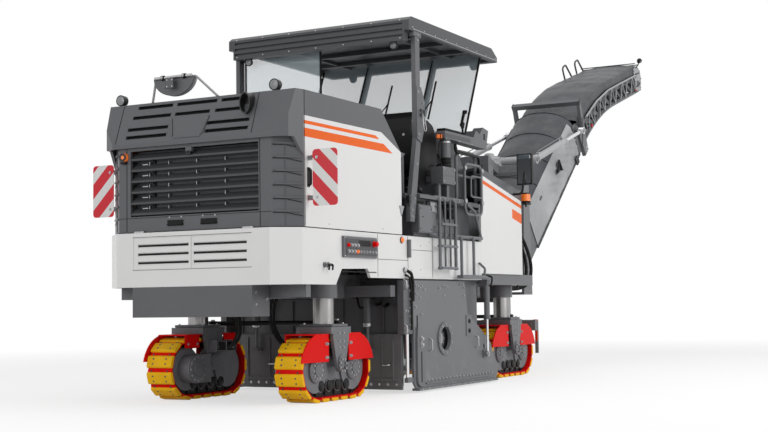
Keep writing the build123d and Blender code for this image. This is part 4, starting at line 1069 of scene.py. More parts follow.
def build_control_panel():
    panel = Shape()
    coloured = {(0, 1): 3, (3, 0): 4}
    panel.box(920, 1590, -1139, -1109, 1392, 1598, 0, 8)
    panel.box(950, 1560, -1146, -1138, 1414, 1576, 1)
    panel.box(1200, 1420, -1152, -1144, 1500, 1566, 2)
    for column, x in enumerate((985, 1045, 1105, 1165)):
        for row, z in enumerate((1450, 1510)):
            panel.lathe([(20, 0), (20, 8), (14, 8), (14, 20), (11, 23)], (x, button_y, z), (0, -1, 0),
                        coloured.get((column, row), 5))
    for x in (1225, 1285, 1345, 1405, 1465, 1525):
        panel.lathe([(16, 0), (16, 6), (11, 6), (11, 16)], (x, button_y, 1450), (0, -1, 0), 5)
    panel.lathe([(30, 0), (30, 10), (22, 10), (22, 30), (26, 34), (24, 44)], (1500, button_y, 1532),
                (0, -1, 0), 3)
    panel.on_side(-1, 1139, [(x, z) for x in (934, 1576) for z in (1405, 1585)], rivet, 5)
    panel.piece("control_panel", "machine", "grey", "deep", "black", "red", "amber", "steel")


def build_rear_beam():
    beam = Shape()
    for side in (-1, 1):
        beam.on_side(side, 690, ((60, 950), (60, 1060), (240, 1000)), bolt, 1)
    beam.prism([(292, -560), (420, -430), (420, 430), (292, 560)], "z", 1002, 1010, 0, 2)
    for y in (-300, 0, 300):
        beam.rod((300, y, 930), (560, y * 0.7, 1060), 16, 2, 12)
    beam.piece("rear_beam_bolts", "machine", "cowl", "steel", "black")


build_skirt()
build_control_panel()
build_rear_beam()
print("skirts, control panel and beam dressed")

# %% [markdown]
# The corner panels beside the grille have six pressed ribs. Each rib's shadow is painted as a black line
# that slants down where the panel turns to the side, so each is a level bar and a slanting one, drawn on a
# place that is turned with the corner.

# %% Corner rib shadows
corner_run, corner_out = 210, 224
rib_foot, rib_pitch, rib_count = 1782, 125, 6


def build_corner_ribs(side, side_name):
    length = math.hypot(corner_run, corner_out)
    bend, end = length * 0.42, length * 0.93
    corner = Matrix.Rotation(math.atan2(corner_out * side, corner_run), 4, "Z")
    ribs = Shape(body_place @ shift(40, side * 886, 0) @ corner)
    inner, outer = sided(side, 0, 6)
    for step in range(rib_count):
        z = rib_foot + rib_pitch * step
        # Painted shadow: both bars of each rib are black lines, the shade under the rib.
        ribs.box(8, bend, inner, outer, z, z + 9, 1, 1)
        ribs.prism([(bend, z), (bend, z + 9), (end, z - 22), (end, z - 31)], "y", inner, outer, 1, 1)
    ribs.box(length * 0.41, length * 0.43, inner, outer, 1670, 2440, 0, 1)
    ribs.piece("corner_ribs_" + side_name, "hood", "cowl", "black")


build_corner_ribs(-1, "right")
build_corner_ribs(1, "left")
print("corner ribs done")

# %% [markdown]
# Beside the platform hang ladders, a gate hoop and a tread, most of them bent from round tube. One
# wire-to-tube tree makes every tube: only the corner points are written down, and the tree rounds the
# corners. The right side is drawn and mirrored.

# %% Ladders, hoops and side boxes
tread_y, hoop_y = -1195, -1162
gate_rear, gate_front = 3645, 4112


def build_steps():
    steps = Shape()
    for x in (3460, 3790):
        steps.tube([(x, -1112, 1690), (x, tread_y, 1690), (x, tread_y, 1240)], 17, 40)
    for x in (3035, 3165):
        steps.rod((x, -1200, 1318), (x, -1200, 2072), 12, sides=12)
    steps.tube([(2810, -1114, 1684), (2810, -1168, 1684), (4110, -1168, 1684), (4110, -1114, 1684)], 19, 40)
    steps.box(3400, 4080, -1240, -1158, 1212, 1246, 0, 6)
    steps.box(3412, 4068, -1228, -1170, 1244, 1249, 1, 0)
    steps.tube([(4070, tread_y, 1235), (4105, tread_y, 1330), (4105, -1120, 1400)], 14, 40)
    for z, x0, x1 in ((1332, 2920, 3280), (1572, 2920, 3280), (1812, 2920, 3280), (1249, 3430, 4060)):
        steps.scatter([(x, y, z) for x in range(x0 + 20, x1, 40) for y in (-1212, -1186)], (0, 0, 1),
                      rivet, 2)
    for x in (2900, 3300):
        for z in (1700, 1990):
            steps.box(x - 26, x + 26, -1184, -1108, z - 5, z + 5, 0, 2)
            steps.on_side(-1, 1205, [(x, z + 60)], rivet, 2)
    steps.on_both_sides("side_steps", "machine", "grey", "black", "steel")


def build_hoops():
    hoops = Shape()
    gate = [(gate_rear, 1950), (gate_rear, 2530), (gate_front, 2530), (gate_front, 1950)]
    hoops.tube([(x, hoop_y, z) for x, z in gate], 17, 90, closed=True)
    for stay in (((3820, 2160), (3820, 2400), (gate_front, 2400)),
                 ((gate_front, 2160), (3820, 2160), (3820, 2200))):
        hoops.tube([(x, hoop_y, z) for x, z in stay], 11, 50)
    for x in (gate_rear, gate_front):
        for z in (2140, 2440):
            hoops.rod((x, -1072, z), (x, hoop_y, z), 12, sides=12)
        for z in (2100, 2480):
            hoops.lathe([(26, 0), (26, 8), (20, 12)], (x, -1176, z), (0, -1, 0), 2, 16)
    hoops.tube([(3500, -1120, 2742), (3500, -1120, 2652), (4150, -1120, 2652), (4150, -1120, 2096)],
               18, 60, 1)
    hoops.tube([(3700, hoop_y, 2060), (3880, -1175, 1990), (3960, -1175, 1850), (4060, -1168, 1700)], 15, 60)
    hoops.on_both_sides("gate_hoops", "machine", "grey", "black", "steel")


def build_side_boxes():
    boxes = Shape()
    boxes.box(2870, 3640, -1158, -1104, 2062, 2116, 0, 6)
    boxes.on_side(-1, 1158, [(x, 2090) for x in (2900, 2990, 3100, 3340, 3480, 3600)], bolt, 2)
    for x in (3020, 3230):
        boxes.box(x - 30, x + 30, -1150, -1110, 2112, 2254)
    boxes.box(2764, 2864, -1172, -1164, 1772, 1918, 1, 5)
    boxes.box(2440, 2750, -1186, -1179, 1702, 1978, 1, 5)
    boxes.on_side(-1, 1186, ((2465, 1730), (2725, 1730), (2465, 1950), (2725, 1950), (2520, 1860)), rivet, 3)
    boxes.box(2765, 2935, -1154, -1104, 1905, 2045, 4, 14)
    boxes.prism([(2120, 1960), (2225, 1960), (2165, 1850)], "y", -1118, -1108, 4, 2)
    boxes.lathe([(64, 0), (72, 20), (88, 150), (94, 154), (94, 160), (80, 160)], (3450, -1062, 1884),
                (0, 0, 1), 3)
    boxes.box(3400, 3500, -1108, -1000, 2036, 2050, 0, 3)
    for x in (2480, 2560, 2640):
        boxes.box(x, x + 50, -1112, -1107, 2005, 2040, 3, 2)
    boxes.tube([(2432, -1140, 2058), (2432, -1140, 2010), (2390, -1140, 1960)], 14, 30, 3)
    boxes.on_both_sides("side_boxes", "machine", "cowl", "grey", "steel", "rubber", "pale")


build_steps()
build_hoops()
build_side_boxes()
print("platform sides dressed")

# %% [markdown]
# Each seat has a thin black shell, bent like a spoon, and two vinyl pads. The pads are closed forms blown up
# by a short cloth simulation, so their faces crown and their corners pull in. A roll of piping lies where
# the cushion meets the back.

# %% Seat pads
last_frame = 20
seat_y, seat_half, wing = 740, 236, 10


def stuff(pad, cap):
    """Swells a closed mesh with air pressure. No point moves further than the cap, in metres."""
    before = [vert.co.copy() for vert in pad.data.vertices]
    cloth = pad.modifiers.new("stuffing", "CLOTH")
    cloth.settings.use_pressure = True
    cloth.settings.uniform_pressure_force = 4.0
    cloth.settings.effector_weights.gravity = 0
    for frame_number in range(1, last_frame + 1):
        bpy.context.scene.frame_set(frame_number)
    settle(pad)
    for vert, old in zip(pad.data.vertices, before):
        move = vert.co - old
        if move.length > cap:
            vert.co = old + move.normalized() * cap
    bpy.context.scene.frame_set(1)


def blown_up(name, mesh, cap):
    """A padded form: evened out, stuffed, and smoothed once."""
    pad = new_object(name, mesh)
    remesh = pad.modifiers.new("even", "REMESH")
    remesh.mode = "VOXEL"
    remesh.voxel_size = 0.009
    settle(pad)
    stuff(pad, cap)
    smooth = pad.modifiers.new("smooth", "SUBSURF")
    smooth.levels = smooth.render_levels = 1
    settle(pad)
    pad.data.materials.clear()
    pad.data.materials.append(finishes["vinyl"])
    smooth_shading(pad.data)
    return pad


def build_pads(y, side_name):
    cushion = Shape()
    cushion.box(2868, 3382, y - 205, y + 205, 2440, 2538, 0, 34)
    back = Shape()
    back.prism([(2745, 2570), (2835, 2570), (2842, 2610), (2812, 2930), (2790, 2975), (2745, 2965),
                (2722, 2860)], "y", y - 205, y + 205, 0, 26)
    for name, shape in (("seat_cushion_", cushion), ("seat_back_", back)):
        pad = blown_up(name + side_name, shape.copied(), 0.024)
        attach(pad, "machine")
        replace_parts(pad, "seat_cushions")


def build_seat(side, side_name):
    y = side * seat_y
    build_pads(y, side_name)
    shell = Shape()
    shell.prism([(3360, 2404), (2720, 2404), (2684, 2450), (2672, 2560), (2676, 2840), (2700, 2968),
                 (2744, 3030), (2788, 3042), (2794, 3024), (2758, 3008), (2716, 2950), (2694, 2836),
                 (2692, 2566), (2704, 2470), (2732, 2424), (3360, 2424)], "y", y - seat_half,
                y + seat_half, 0, 4)
    inner_wing = [(2690, 2440), (2880, 2430), (2860, 2520), (2760, 2620), (2742, 2900), (2700, 2950),
                  (2680, 2830), (2680, 2560)]
    outer_wing = [(3290, 2390), (3285, 2830), (3190, 2930), (3060, 2975), (2880, 2965), (2720, 2880),
                  (2676, 2700), (2676, 2420), (2700, 2210), (2960, 2205), (3240, 2320)]
    shell.prism(inner_wing, "y", *sided(side, seat_y - seat_half - wing, seat_y - seat_half))
    shell.prism(outer_wing, "y", *sided(side, seat_y + seat_half, seat_y + seat_half + wing))
    shell.tube([(2830, y - 215, 2558), (2830, y + 215, 2558)], 9, 0, 1)
    shell.lathe([(150, 0), (160, 10), (120, 60), (150, 110), (120, 160), (150, 210), (120, 240)],
                (3060, y, 2165), (0, 0, 1), 2, 32)
    shell.scatter([(2671, y + dy, z) for dy in (-150, 150) for z in (2560, 2780)], (-1, 0, 0), bolt, 3)
    shell.piece("seat_shell_" + side_name, "machine", "black", "vinyl", "rubber", "steel")


build_seat(-1, "right")
build_seat(1, "left")
print("seats padded")

# %% [markdown]
# Each seat's arm console carries a padded rest, a joystick, a few buttons and a rubber bellows; the front
# console carries displays and switches. They are small turned and boxed forms with no words on them.

# %% Consoles


def build_arm_console():
    arm = Shape()
    up = (0, 0, 1)
    arm.box(3050, 3470, -1214, -1106, 2838, 2872, 0, 12)
    arm.box(3046, 3700, -1222, -1219, 2772, 2812, 1, 1)
    arm.box(4072, 4112, -1223, -1218, 2840, 2912, 2, 1)
    arm.lathe([(34, 0), (34, 6), (26, 16), (30, 24), (22, 34), (24, 42), (13, 50), (11, 90), (19, 100),
               (23, 130), (14, 144)], (3620, -1160, 2836), up, 3, 20)
    for step, slot in enumerate((4, 5, 4, 4)):
        arm.lathe([(10, 0), (10, 7), (7, 9)], (3520 + 30 * step, -1128, 2838), up, slot, 12)
    arm.lathe([(56, 0), (66, 20), (56, 40), (66, 60), (56, 80), (64, 98), (55, 110)],
              (3160, -1160, 2440), up, 3)
    arm.lathe([(58, 0), (58, 14), (53, 18)], (3160, -1160, 2716), up, 4)
    arm.on_side(-1, 1215, [(x, z) for x in (2990, 3260) for z in (2275, 2415)], bolt, 4)
    arm.on_side(-1, 1220, [(x, 2752) for x in (3060, 3400, 3740)], rivet, 4)
    arm.box(2966, 3284, -1217, -1213, 2342, 2346, 1, 0)
    arm.tube([(3050, -1160, 2735), (2985, -1165, 2700), (2990, -1165, 2560), (3040, -1165, 2445)], 9, 40, 3)
    arm.box(2986, 3026, -1190, -1130, 2745, 2805, 5, 8)
    arm.tube([(3220, -1100, 2445), (3250, -1020, 2520), (3230, -960, 2340)], 9, 40, 3)
    arm.on_both_sides("arm_console", "machine", "vinyl", "deep", "black", "rubber", "steel", "amber")


def build_dash():
    dash = Shape()
    back = (-1, 0, 0)
    for y in (-520, 520):
        dash.box(3700, 3732, y - 150, y + 150, 2880, 3070, 0, 12)
        dash.box(3694, 3703, y - 132, y + 132, 2900, 3052, 1, 3)
        dash.rod((3740, y, 2860), (3722, y, 2950), 18, 0, 16)
        for step in range(5):
            dash.lathe([(13, 0), (13, 8), (9, 10)], (3698, y - 110 + 55 * step, 2560), back, 2, 12)
        dash.box(3692, 3702, y - 170, y + 170, 2400, 2515, 1, 3)
    dash.box(3692, 3702, -160, 160, 2450, 2575, 1, 3)
    for y in (-100, 0.0, 100):
        dash.lathe([(38, 0), (38, 8), (33, 12), (30, 8)], (3692, y, 2512), back, 2, 24)
    dash.tube([(3700, -820, 2640), (3640, -820, 2660), (3640, 820, 2660), (3700, 820, 2640)], 17, 50)
    dash.scatter([(3700, y, z) for y in (-860, 860) for z in (2150, 2350, 2560)], back, bolt, 2)
    dash.piece("front_console_fittings", "machine", "black", "deep", "steel")


build_arm_console()
build_dash()
print("consoles done")

# %% [markdown]
# The canopy's roof shows bolted ribs and a lamp at each corner; its glass is clamped in rubber edges, and
# each rear post carries a wide gusset plate where it folds.

# %% Canopy trim
screen_run, screen_rise = 500, 1040


def build_canopy_trim():
    trim = Shape()
    trim.scatter([(2310, y, z) for y in range(-1050, 1051, 350) for z in (3768, 3962)], (-1, 0, 0), rivet, 1)
    for side in (-1, 1):
        trim.box(2400, 4600, *sided(side, 1160, 1166), 3866, 3874, 1, 0)
        trim.on_side(side, 1160, [(x, 3890) for x in range(2400, 4601, 275)], rivet, 1)
    for x in (2900, 3450, 4000):
        trim.box(x - 25, x + 25, -1095, 1095, 3876, 3918, 0, 5)
    for y in (-700, 700):
        trim.box(2470, 4560, y - 16, y + 16, 3886, 3918)
    for x in (2700, 3300, 3900):
        trim.box(x - 14, x + 14, -1100, 1100, 3998, 4000.5, 0, 0)
    for y in (-850, 850):
        lamp(trim, (4652, y, 3836), (1, 0, 0), 52, 60, 2, 3)
        lamp(trim, (2372, y * 1.1, 3712), (-1, 0, 0), 46, 55, 2, 3)
        trim.box(4590, 4640, y - 12, y + 12, 3836, 3856, 2, 3)
        trim.box(2376, 2410, y * 1.1 - 12, y * 1.1 + 12, 3712, 3748, 2, 3)
    trim.piece("canopy_trim", "machine", "deep", "steel", "black", "lamp_glass")


def build_glass_edges():
    edges = Shape(body_place @ shift(3834, 0, 2880) @ tilt(math.atan2(screen_run, screen_rise)))
    top = math.hypot(screen_run, screen_rise) - 34
    for side in (-1, 1):
        wiper = side * 300
        edges.box(-10, 10, *sided(side, 1078, 1098), 8, top, 0, 3)
        edges.box(-8, 8, *sided(side, 442, 458), 8, top, 0, 3)
        edges.box(-34, -12, *sided(side, 1016, 1046), 140, 330, 1, 6)
        for z in (150, 320):
            edges.box(-20, 12, *sided(side, 1006, 1056), z - 20, z + 20, 1, 5)
        edges.rod((-14, wiper, 70), (-14, wiper - 260, 520), 7, 1, 10)
        edges.box(-22, -10, wiper - 278, wiper - 258, 260, 800, 0, 3)
        edges.lathe([(24, 0), (24, 26), (16, 32)], (-8, wiper, 70), (-1, 0, 0), 1, 18)
    edges.box(-12, 12, -1090, 1090, -6, 14)
    edges.piece("windscreen_edges", "machine", "rubber", "black")
    pane = Shape()
    for y0, y1, z0, z1 in ((44, 62, 2974, 3916), (1048, 1066, 2974, 3916), (44, 1066, 2970, 2990)):
        pane.box(2490, 2510, y0, y1, z0, z1, 0, 3)
    for z in (3100, 3760):
        pane.box(2484, 2516, 1040, 1108, z - 26, z + 26, 1)
    for y in (220, 880):
        pane.tube([(2500, y, 2982), (2500, y, 2900), (2300, y, 2540)], 12, 40, 1)
    pane.piece("rear_pane_edges", "machine", "rubber", "black")


def build_post_plates():
    posts = Shape()
    gusset = [(2452, 2690), (2556, 2660), (2640, 2860), (2640, 3120), (2556, 3260), (2452, 3260)]
    posts.prism(gusset, "y", -1170, -1160)
    posts.on_side(-1, 1170, ((2480, 2740), (2600, 2880), (2600, 3090), (2480, 3200), (2520, 2980)), bolt, 1)
    posts.box(2520, 2600, -1196, -1170, 2940, 3020, 2, 8)
    posts.tube([(2545, -1190, 2990), (2530, -1205, 2840), (2560, -1208, 2760), (2600, -1206, 2800),
                (2590, -1190, 2960)], 4.5, 40, 1, 8)
    bolts = ((2320, 1850), (2320, 1920), (2375, 2050), (2450, 2420), (2500, 3760), (2500, 3820))
    posts.on_side(-1, 1160, bolts, bolt, 1)
    posts.box(2262, 2300, -1168, -1112, 1980, 2080, 2, 6)
    posts.box(2410, 2590, -1166, -1104, 3800, 3850, 0, 6)
    posts.on_both_sides("post_plates", "machine", "cowl", "steel", "black")


build_canopy_trim()
build_glass_edges()
build_post_plates()
print("canopy dressed")

# %% [markdown]
# The side plates seal the milling drum against the road. Each slides up on a rod behind it and a cylinder
# before it. A plate like this is mostly bolts: rows of them hold the wear skid, and one tree sets every row.

# %% Side plate fittings
drum_x, drum_z = 3080, 550
plate_y = 1150
lift_x, lift_y = 4130, -1196


def build_side_plate():
    plate = Shape()
    strip = [(2465 + 88 * along, 150 + 92 * up) for along, up in around(9, 1, 180, 180, steps=8)]
    plate.prism(strip + [(2553, 470), (2530, 640), (2470, 690), (2390, 690), (2377, 560)], "y", -1174,
                -1150, 0, 5)
    # Painted shade: the raised strip's long slot is a black strip on its face.
    plate.box(2452, 2478, -1176, -1173, 105, 430, 1, 1)
    for z in (500, 565):
        plate.lathe([(30, 0), (30, 8), (20, 10), (20, 26), (14, 30)], (2462, -1174, z), (0, -1, 0), 2, 20)
    bolts = ((2400, 1120), (2440, 1125), (2480, 1105), (2400, 1040), (2530, 1120), (2600, 1085), (2490, 1000),
             (2380, 900), (2520, 820), (2960, 1100), (3060, 1125), (3110, 1118), (3160, 1120), (3080, 1020),
             (3590, 1110), (3590, 1020), (3560, 1140), (3500, 1140))
    plate.on_side(-1, plate_y, bolts, bolt, 2)
    plate.on_side(-1, plate_y, [(x, 118) for x in range(2660, 4400, 88)], bolt, 2)
    plate.on_side(-1, 1180, [(x, 32) for x in range(2480, 4440, 150)], rivet, 2)
    plate.on_side(-1, 1164, around(10, 155, 18, centre=(drum_x, drum_z)), bolt, 2)
    plate.box(2600, 4300, -1162, -1150, 78, 98, 0, 3)
    plate.box(3640, 3790, -1158, -1150, 560, 800, 0, 4)
    for z in (620, 730):
        plate.lathe([(26, 0), (26, 6), (14, 8), (12, -2)], (3715, -1158, z), (0, -1, 0), 1, 20)
    plate.box(4085, 4175, -1168, -1150, 300, 390, 0, 6)
    plate.rod((lift_x, -plate_y, 345), (lift_x, lift_y - 20, 345), 17, 2, 16, 2)
    plate.lathe([(34, -14), (36, 0), (34, 14)], (lift_x, lift_y, 345), (0, 1, 0), 2, 24)
    plate.rod((lift_x, lift_y, 370), (lift_x, lift_y, 795), 15, 3)
    for x in (2700, 3900):
        plate.tube([(x, -1152, 560), (x, -1186, 540), (x, -1186, 440), (x, -1152, 420)], 8, 20, 2)
    for side_name in ("right", "left"):
        plate.piece("side_plate_fittings_" + side_name, side_name + "_side_plate", "grey", "black", "steel",
                    "chrome", mirror_y=side_name == "left")


def build_plate_guides():
    guides = Shape()
    guides.rod((lift_x, lift_y, 752), (lift_x, lift_y, 1150), 34, 0, 24, 3)
    guides.lathe([(40, 0), (40, 40), (34, 48)], (lift_x, lift_y, 744), (0, 0, 1), 1, 24)
    guides.box(4090, 4170, -1222, -1112, 1140, 1206, 1, 6)
    guides.tube([(lift_x, -1232, 1130), (lift_x, -1262, 1150), (4200, -1240, 1240), (4190, -1130, 1262)],
                11, 40, 3)
    guides.lathe([(105, 0), (105, 12), (92, 18), (60, 20), (56, 30), (30, 32)], (drum_x, -1080, drum_z),
                 (0, -1, 0), 2, 32)
    guides.on_side(-1, 1097, around(8, 78, centre=(drum_x, drum_z)), bolt, 2)
    for z in (700, 790, 880, 970, 1060):
        guides.box(2226, 2286, -1164, -1150, z, z + 26, 2, 3)
    guides.tube([(2256, -1168, 660), (2256, -1168, 1120), (2244, -1156, 1215), (2222, -1112, 1240)],
                11, 40, 3)
    guides.tube([(2290, -1172, 960), (2290, -1172, 1160), (2266, -1166, 1260), (2200, -1112, 1296)],
                17, 60, 3)
    guides.lathe([(26, 0), (30, 6), (30, 24), (24, 32)], (2205, -1110, 1293), (0.5, -0.6, -0.3), 2, 20)
    for z, x in ((1185, 2122), (720, 2118)):
        guides.tube([(x, -plate_y, z), (x, -1184, z - 14), (x, -1184, z - 84), (x + 32, -1168, z - 96)],
                    8, 16, 2)
    guides.on_side(-1, 1152, [(x, z) for x in (2150, 2200) for z in (660, 860, 1120)], bolt, 2)
    guides.on_both_sides("plate_guides", "machine", "grey", "cowl", "steel", "rubber")


def build_scraper():
    scraper = Shape()
    for y in (-975, -845, -560, -430, -300, -150, 0, 150, 300, 430, 560, 845, 975):
        scraper.box(2184, 2200, y - 7, y + 7, 110, 590, 0, 3)
    scraper.box(2186, 2200, -1040, 1040, 130, 156, 0, 3)
    scraper.scatter([(2200, y, 96) for y in range(-1010, 1011, 101)], (-1, 0, 0), bolt, 1)
    for y in (-900, -520, 520, 900):
        scraper.tube([(2196, y - 40, 300), (2160, y - 40, 300), (2160, y + 40, 300), (2196, y + 40, 300)],
                     9, 18, 1)
    scraper.piece("scraper_ribs", "scraper", "grey", "steel")


def build_housing():
    housing = Shape()
    for y in (-980, -820, -580, -320, 320, 580, 820, 980):
        housing.box(2278, 2300, y - 9, y + 9, 640, 990, 0, 3)
    housing.box(2274, 2300, -1060, 1060, 985, 998, 0, 2)
    housing.scatter([(2300, y, 1060) for y in range(-400, 401, 100)], (-1, 0, 0), bolt, 1)
    for side in (-1, 1):
        housing.on_side(side, 1080, [(x, 1150) for x in range(2480, 3600, 160)], rivet, 1)
        housing.lathe([(50, 0), (50, 30), (44, 36)], (2150, side * 700, 735), (0, 0, -1), 1, 24)
        housing.tube([(2150, side * 655, 900), (2150, side * 600, 900), (2180, side * 560, 1000),
                      (2240, side * 560, 1090)], 12, 40, 2)
        housing.tube([(2120, side * 940, 1120), (2085, side * 940, 1020), (2110, side * 905, 925),
                      (2200, side * 880, 910), (2290, side * 870, 930)], 19, 70, 2)
        housing.tube([(2120, side * 860, 1120), (2060, side * 850, 1020), (2100, side * 810, 920),
                      (2290, side * 790, 940)], 15, 90, 2)
    housing.piece("housing_ribs_and_pipes", "machine", "cowl", "steel", "rubber")


def build_drum_tips():
    """Every tool holder gets its round-shank pick: a collar, a cone and a hard metal point."""
    profile = [(20, -46), (20, -20), (29, -18), (25, -8), (11, 14), (9, 28), (2, 34)]
    pick = small_form("pick", lambda shape: shape.lathe(profile, (0, 0, 0), (0, 0, 1), 0, 12))
    tips = Shape()
    rows, half_width = 20, 945
    for row in range(rows):
        y = half_width * ((2 * row + 1) / rows - 1)
        for start in range(4):
            turn = math.radians(90 * start + 27 * row)
            out = Vector((math.sin(turn), 0, math.cos(turn)))
            ahead = Vector((math.cos(turn), 0, -math.sin(turn)))
            place = Vector((drum_x, y, drum_z)) + ahead * 66 + out * 380
            tips.scatter([tuple(place)], tuple((out * 0.75 + ahead * 0.66).normalized()), pick, 0)
    tips.piece("drum_picks", "drum", "steel")


build_side_plate()
build_plate_guides()
build_scraper()
build_housing()
build_drum_tips()
print("milling unit dressed")

# %% [markdown]
# The conveyor's tarpaulins are sheets laced over hoops. A sheet is a grid: one direction runs along the
# conveyor, the other across it. Between two hoops the cloth hangs a little, and folds run away from the
# laces. The same two numbers, distance and height above the frame's lower edge, place every point, straight,
# round the bend or round the head.

# %% Places along the upper conveyor
head_start, head_centre, head_radius = 3188, 235, 262


def bend_point(distance, y, height):
    """A point in metres at a distance along the upper conveyor, past the head too."""
    if distance <= head_start:
        return along_bend(distance) @ Vector((0, y, height))
    turn = tilt((distance - head_start) / head_radius)
    return along_bend(head_start) @ shift(0, 0, head_centre) @ turn @ Vector((0, y, height - head_centre))


def bend_spot(distance, y, height):
    """The same place in millimetres."""
    return tuple(bend_point(distance, y, height) * 1000)


def cloth_sheet(name, body, place, across, lengthwise, thickness, finish):
    """A sheet from place(along, share across), with a wall, its faces outwards."""
    form = bmesh.new()
    rows = [[form.verts.new(place(along, share)) for share in across] for along in lengthwise]
    for first, second in zip(rows, rows[1:]):
        for step in range(len(across) - 1):
            form.faces.new((first[step], first[step + 1], second[step + 1], second[step]))
    bmesh.ops.recalc_face_normals(form, faces=form.faces)
    mesh = bpy.data.meshes.new(name)
    form.to_mesh(mesh)
    made = new_object(name, mesh)
    wall = made.modifiers.new("wall", "SOLIDIFY")
    wall.thickness = thickness
    wall.offset = 0
    settle(made)
    made.data.materials.clear()
    made.data.materials.append(finishes[finish])
    smooth_shading(made.data)
    made.data.set_sharp_from_angle(angle=math.radians(50))
    print(name, "cloth area", round(sum(polygon.area for polygon in made.data.polygons) / 2, 3))
    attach(made, body)
    return made


def steps_between(low, high, count):
    return [low + (high - low) * index / count for index in range(count + 1)]


# %% [markdown]
# Creases are sums of a few slow waves and a coherent noise that is read from the point's own place, so the
# same cloth comes out on every run.

# %% Tarpaulins
upper_half, upper_edge, upper_rise, upper_top = 494, 296, 196, 497
lower_half, lower_edge, lower_rise = 497, 263, 327
apron_top, apron_drop, lace_pitch = 420, 575, 290


def crumple(x, y, z, size, depth):
    return noise.noise(Vector((x, y, z)) / size) * depth


def sag(distance, length, bays, depth):
    """How far cloth hangs between hoops: nothing at a hoop, and the full depth half-way to the next."""
    return depth * (1 - math.cos(distance / length * 2 * math.pi * bays)) / 2


def upper_cover_place(distance, share):
    """Flat-topped section with round shoulders, hanging between its hoops."""
    turn = math.pi * (share - 0.5)
    y = upper_half * max(-1, min(1, 1.18 * math.sin(turn)))
    shoulder = abs(math.cos(turn)) ** 0.42
    lift = upper_rise - sag(distance, 3208, 7, 9) + crumple(distance, y, 0, 170, 7)
    return bend_point(distance, y, min(upper_edge + lift * shoulder, upper_top))


def lower_cover_place(u, share):
    """Half a round section on the lower frame."""
    angle = math.pi * share
    hang = sag(u - 50, 2910, 6, 8) + 4 - crumple(u, share * 900, 0, 200, 7)
    swell = 1 - hang / 330 * math.sin(angle)
    y = lower_half * math.cos(angle) * min(swell + 0.01, 1)
    return conveyor_place @ Vector((u, y, lower_edge + lower_rise * math.sin(angle) * min(swell, 1)))


def side_cloth_place(side):
    """A pale apron that hangs from the cover's edge, pleated at its laces."""
    def place(u, share):
        pull = 1 - share
        pleat = math.sin(u / 96 + math.sin(u / 333) * 2) * (5 + 8 * pull)
        slant = (u - 1050 - 900 * share) / 190
        crease = max(0, 1 - abs((slant + 0.5) % 1 * 2 - 1) * 2.2) * 24
        crease *= math.sin(math.pi * min(1, share * 1.25)) ** 0.7
        crease *= max(0, min(1, (u - 1250) / 400))
        scallop = 11.9 * abs(math.sin((u - 520) / lace_pitch * math.pi))
        v = apron_top - (apron_drop + scallop) * share
        proud = 511 + pleat * 0.55 + crease - 13 * pull ** 2 + crumple(u, v, side, 130, 6)
        if v > lower_edge:
            lean = math.sqrt(max(0, 1 - ((v - lower_edge) / 332) ** 2))
            proud = max(min(proud, 500 * lean + 9 + crease * 0.4), 0)
        else:
            proud = max(min(proud, 509 + max(0, u - 1250) * 0.08), 503)
        return conveyor_place @ Vector((u, side * proud, v))
    return place


cover = cloth_sheet("upper_tarpaulin", "conveyor_upper", upper_cover_place, steps_between(0, 1, 44),
                    steps_between(16, head_start + 356, 150), 0.004, "cloth")
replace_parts(cover, "conveyor_cover_upper")
cover = cloth_sheet("lower_tarpaulin", "conveyor_lower", lower_cover_place, steps_between(0, 1, 44),
                    steps_between(52, 2958, 110), 0.004, "cloth")
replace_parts(cover, "conveyor_cover_lower")
for side, side_name in ((-1, "right"), (1, "left")):
    cover = cloth_sheet("side_tarpaulin_" + side_name, "conveyor_lower", side_cloth_place(side),
                        steps_between(0, 1, 26), steps_between(524, 2836, 150), 0.003, "pale_cloth")
    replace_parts(cover, "conveyor_cover_lower")

# %% [markdown]
# Along the covers run the lacing strip, a light tube rail, hoops and the head's cheek plates. Their paths are
# read from the same places as the cloth.

# %% Rails, lacing and head


def strip_along(shape, side, low, high, out, thickness, start, end, slot):
    """A flat strip that follows the frame, from low to high above its lower edge."""
    section = ((out, low), (out, high), (out + thickness, high), (out + thickness, low))
    shape.skin([[bend_spot(distance, side * y, height) for y, height in section]
                for distance in steps_between(start, end, 40)], slot)


def build_upper_rails():
    rails = Shape(Matrix.Scale(0.001, 4))
    for side in (-1, 1):
        strip_along(rails, side, 282, 322, 499, 4, 340, 3060, 1)
        strip_along(rails, side, 0, 30, 499, 14, 30, 3200, 0)
        top = [bend_spot(distance, side * 524, 306) for distance in (350, 900, 1500, 2100, 2640, 3050)]
        rails.tube(top + [bend_spot(3120, side * 500, 290)], 15, 200, 2)
        for distance in range(400, 3000, 290):
            high = bend_spot(distance + 145, side * 520, 304)
            rails.rod(bend_spot(distance, side * 510, 24), high, 7, 2, 10)
            if distance % 580 == 400:
                rails.rod(high, bend_spot(distance + 290, side * 510, 24), 7, 2, 10)
        for distance in range(380, 3040, 130):
            rails.scatter([bend_spot(distance, side * 503, 302)], (0, side, 0), rivet, 3)
        for distance in (520, 3010):
            rails.lathe([(22, 0), (22, 8), (16, 12)], bend_spot(distance, side * 514, 60),
                        (0, side, 0), 4, 18)
    handle = ((0, 470), (-60, 677), (120, 697), (340, 470))
    for distance in (2160, 2790):
        hoop = [along_bend(distance) @ Vector((x, 440, z)) for x, z in handle]
        rails.tube([tuple(point * 1000) for point in hoop], 15, 60, 3, 16)
    for distance in steps_between(3190, 3500, 2):
        rails.tube([bend_spot(distance, y, 499) for y in (-496, -200, 200, 496)], 9, 20, 3)
    rails.piece("upper_conveyor_rails", "conveyor_upper", "grey", "black", "pale", "deep", "red")


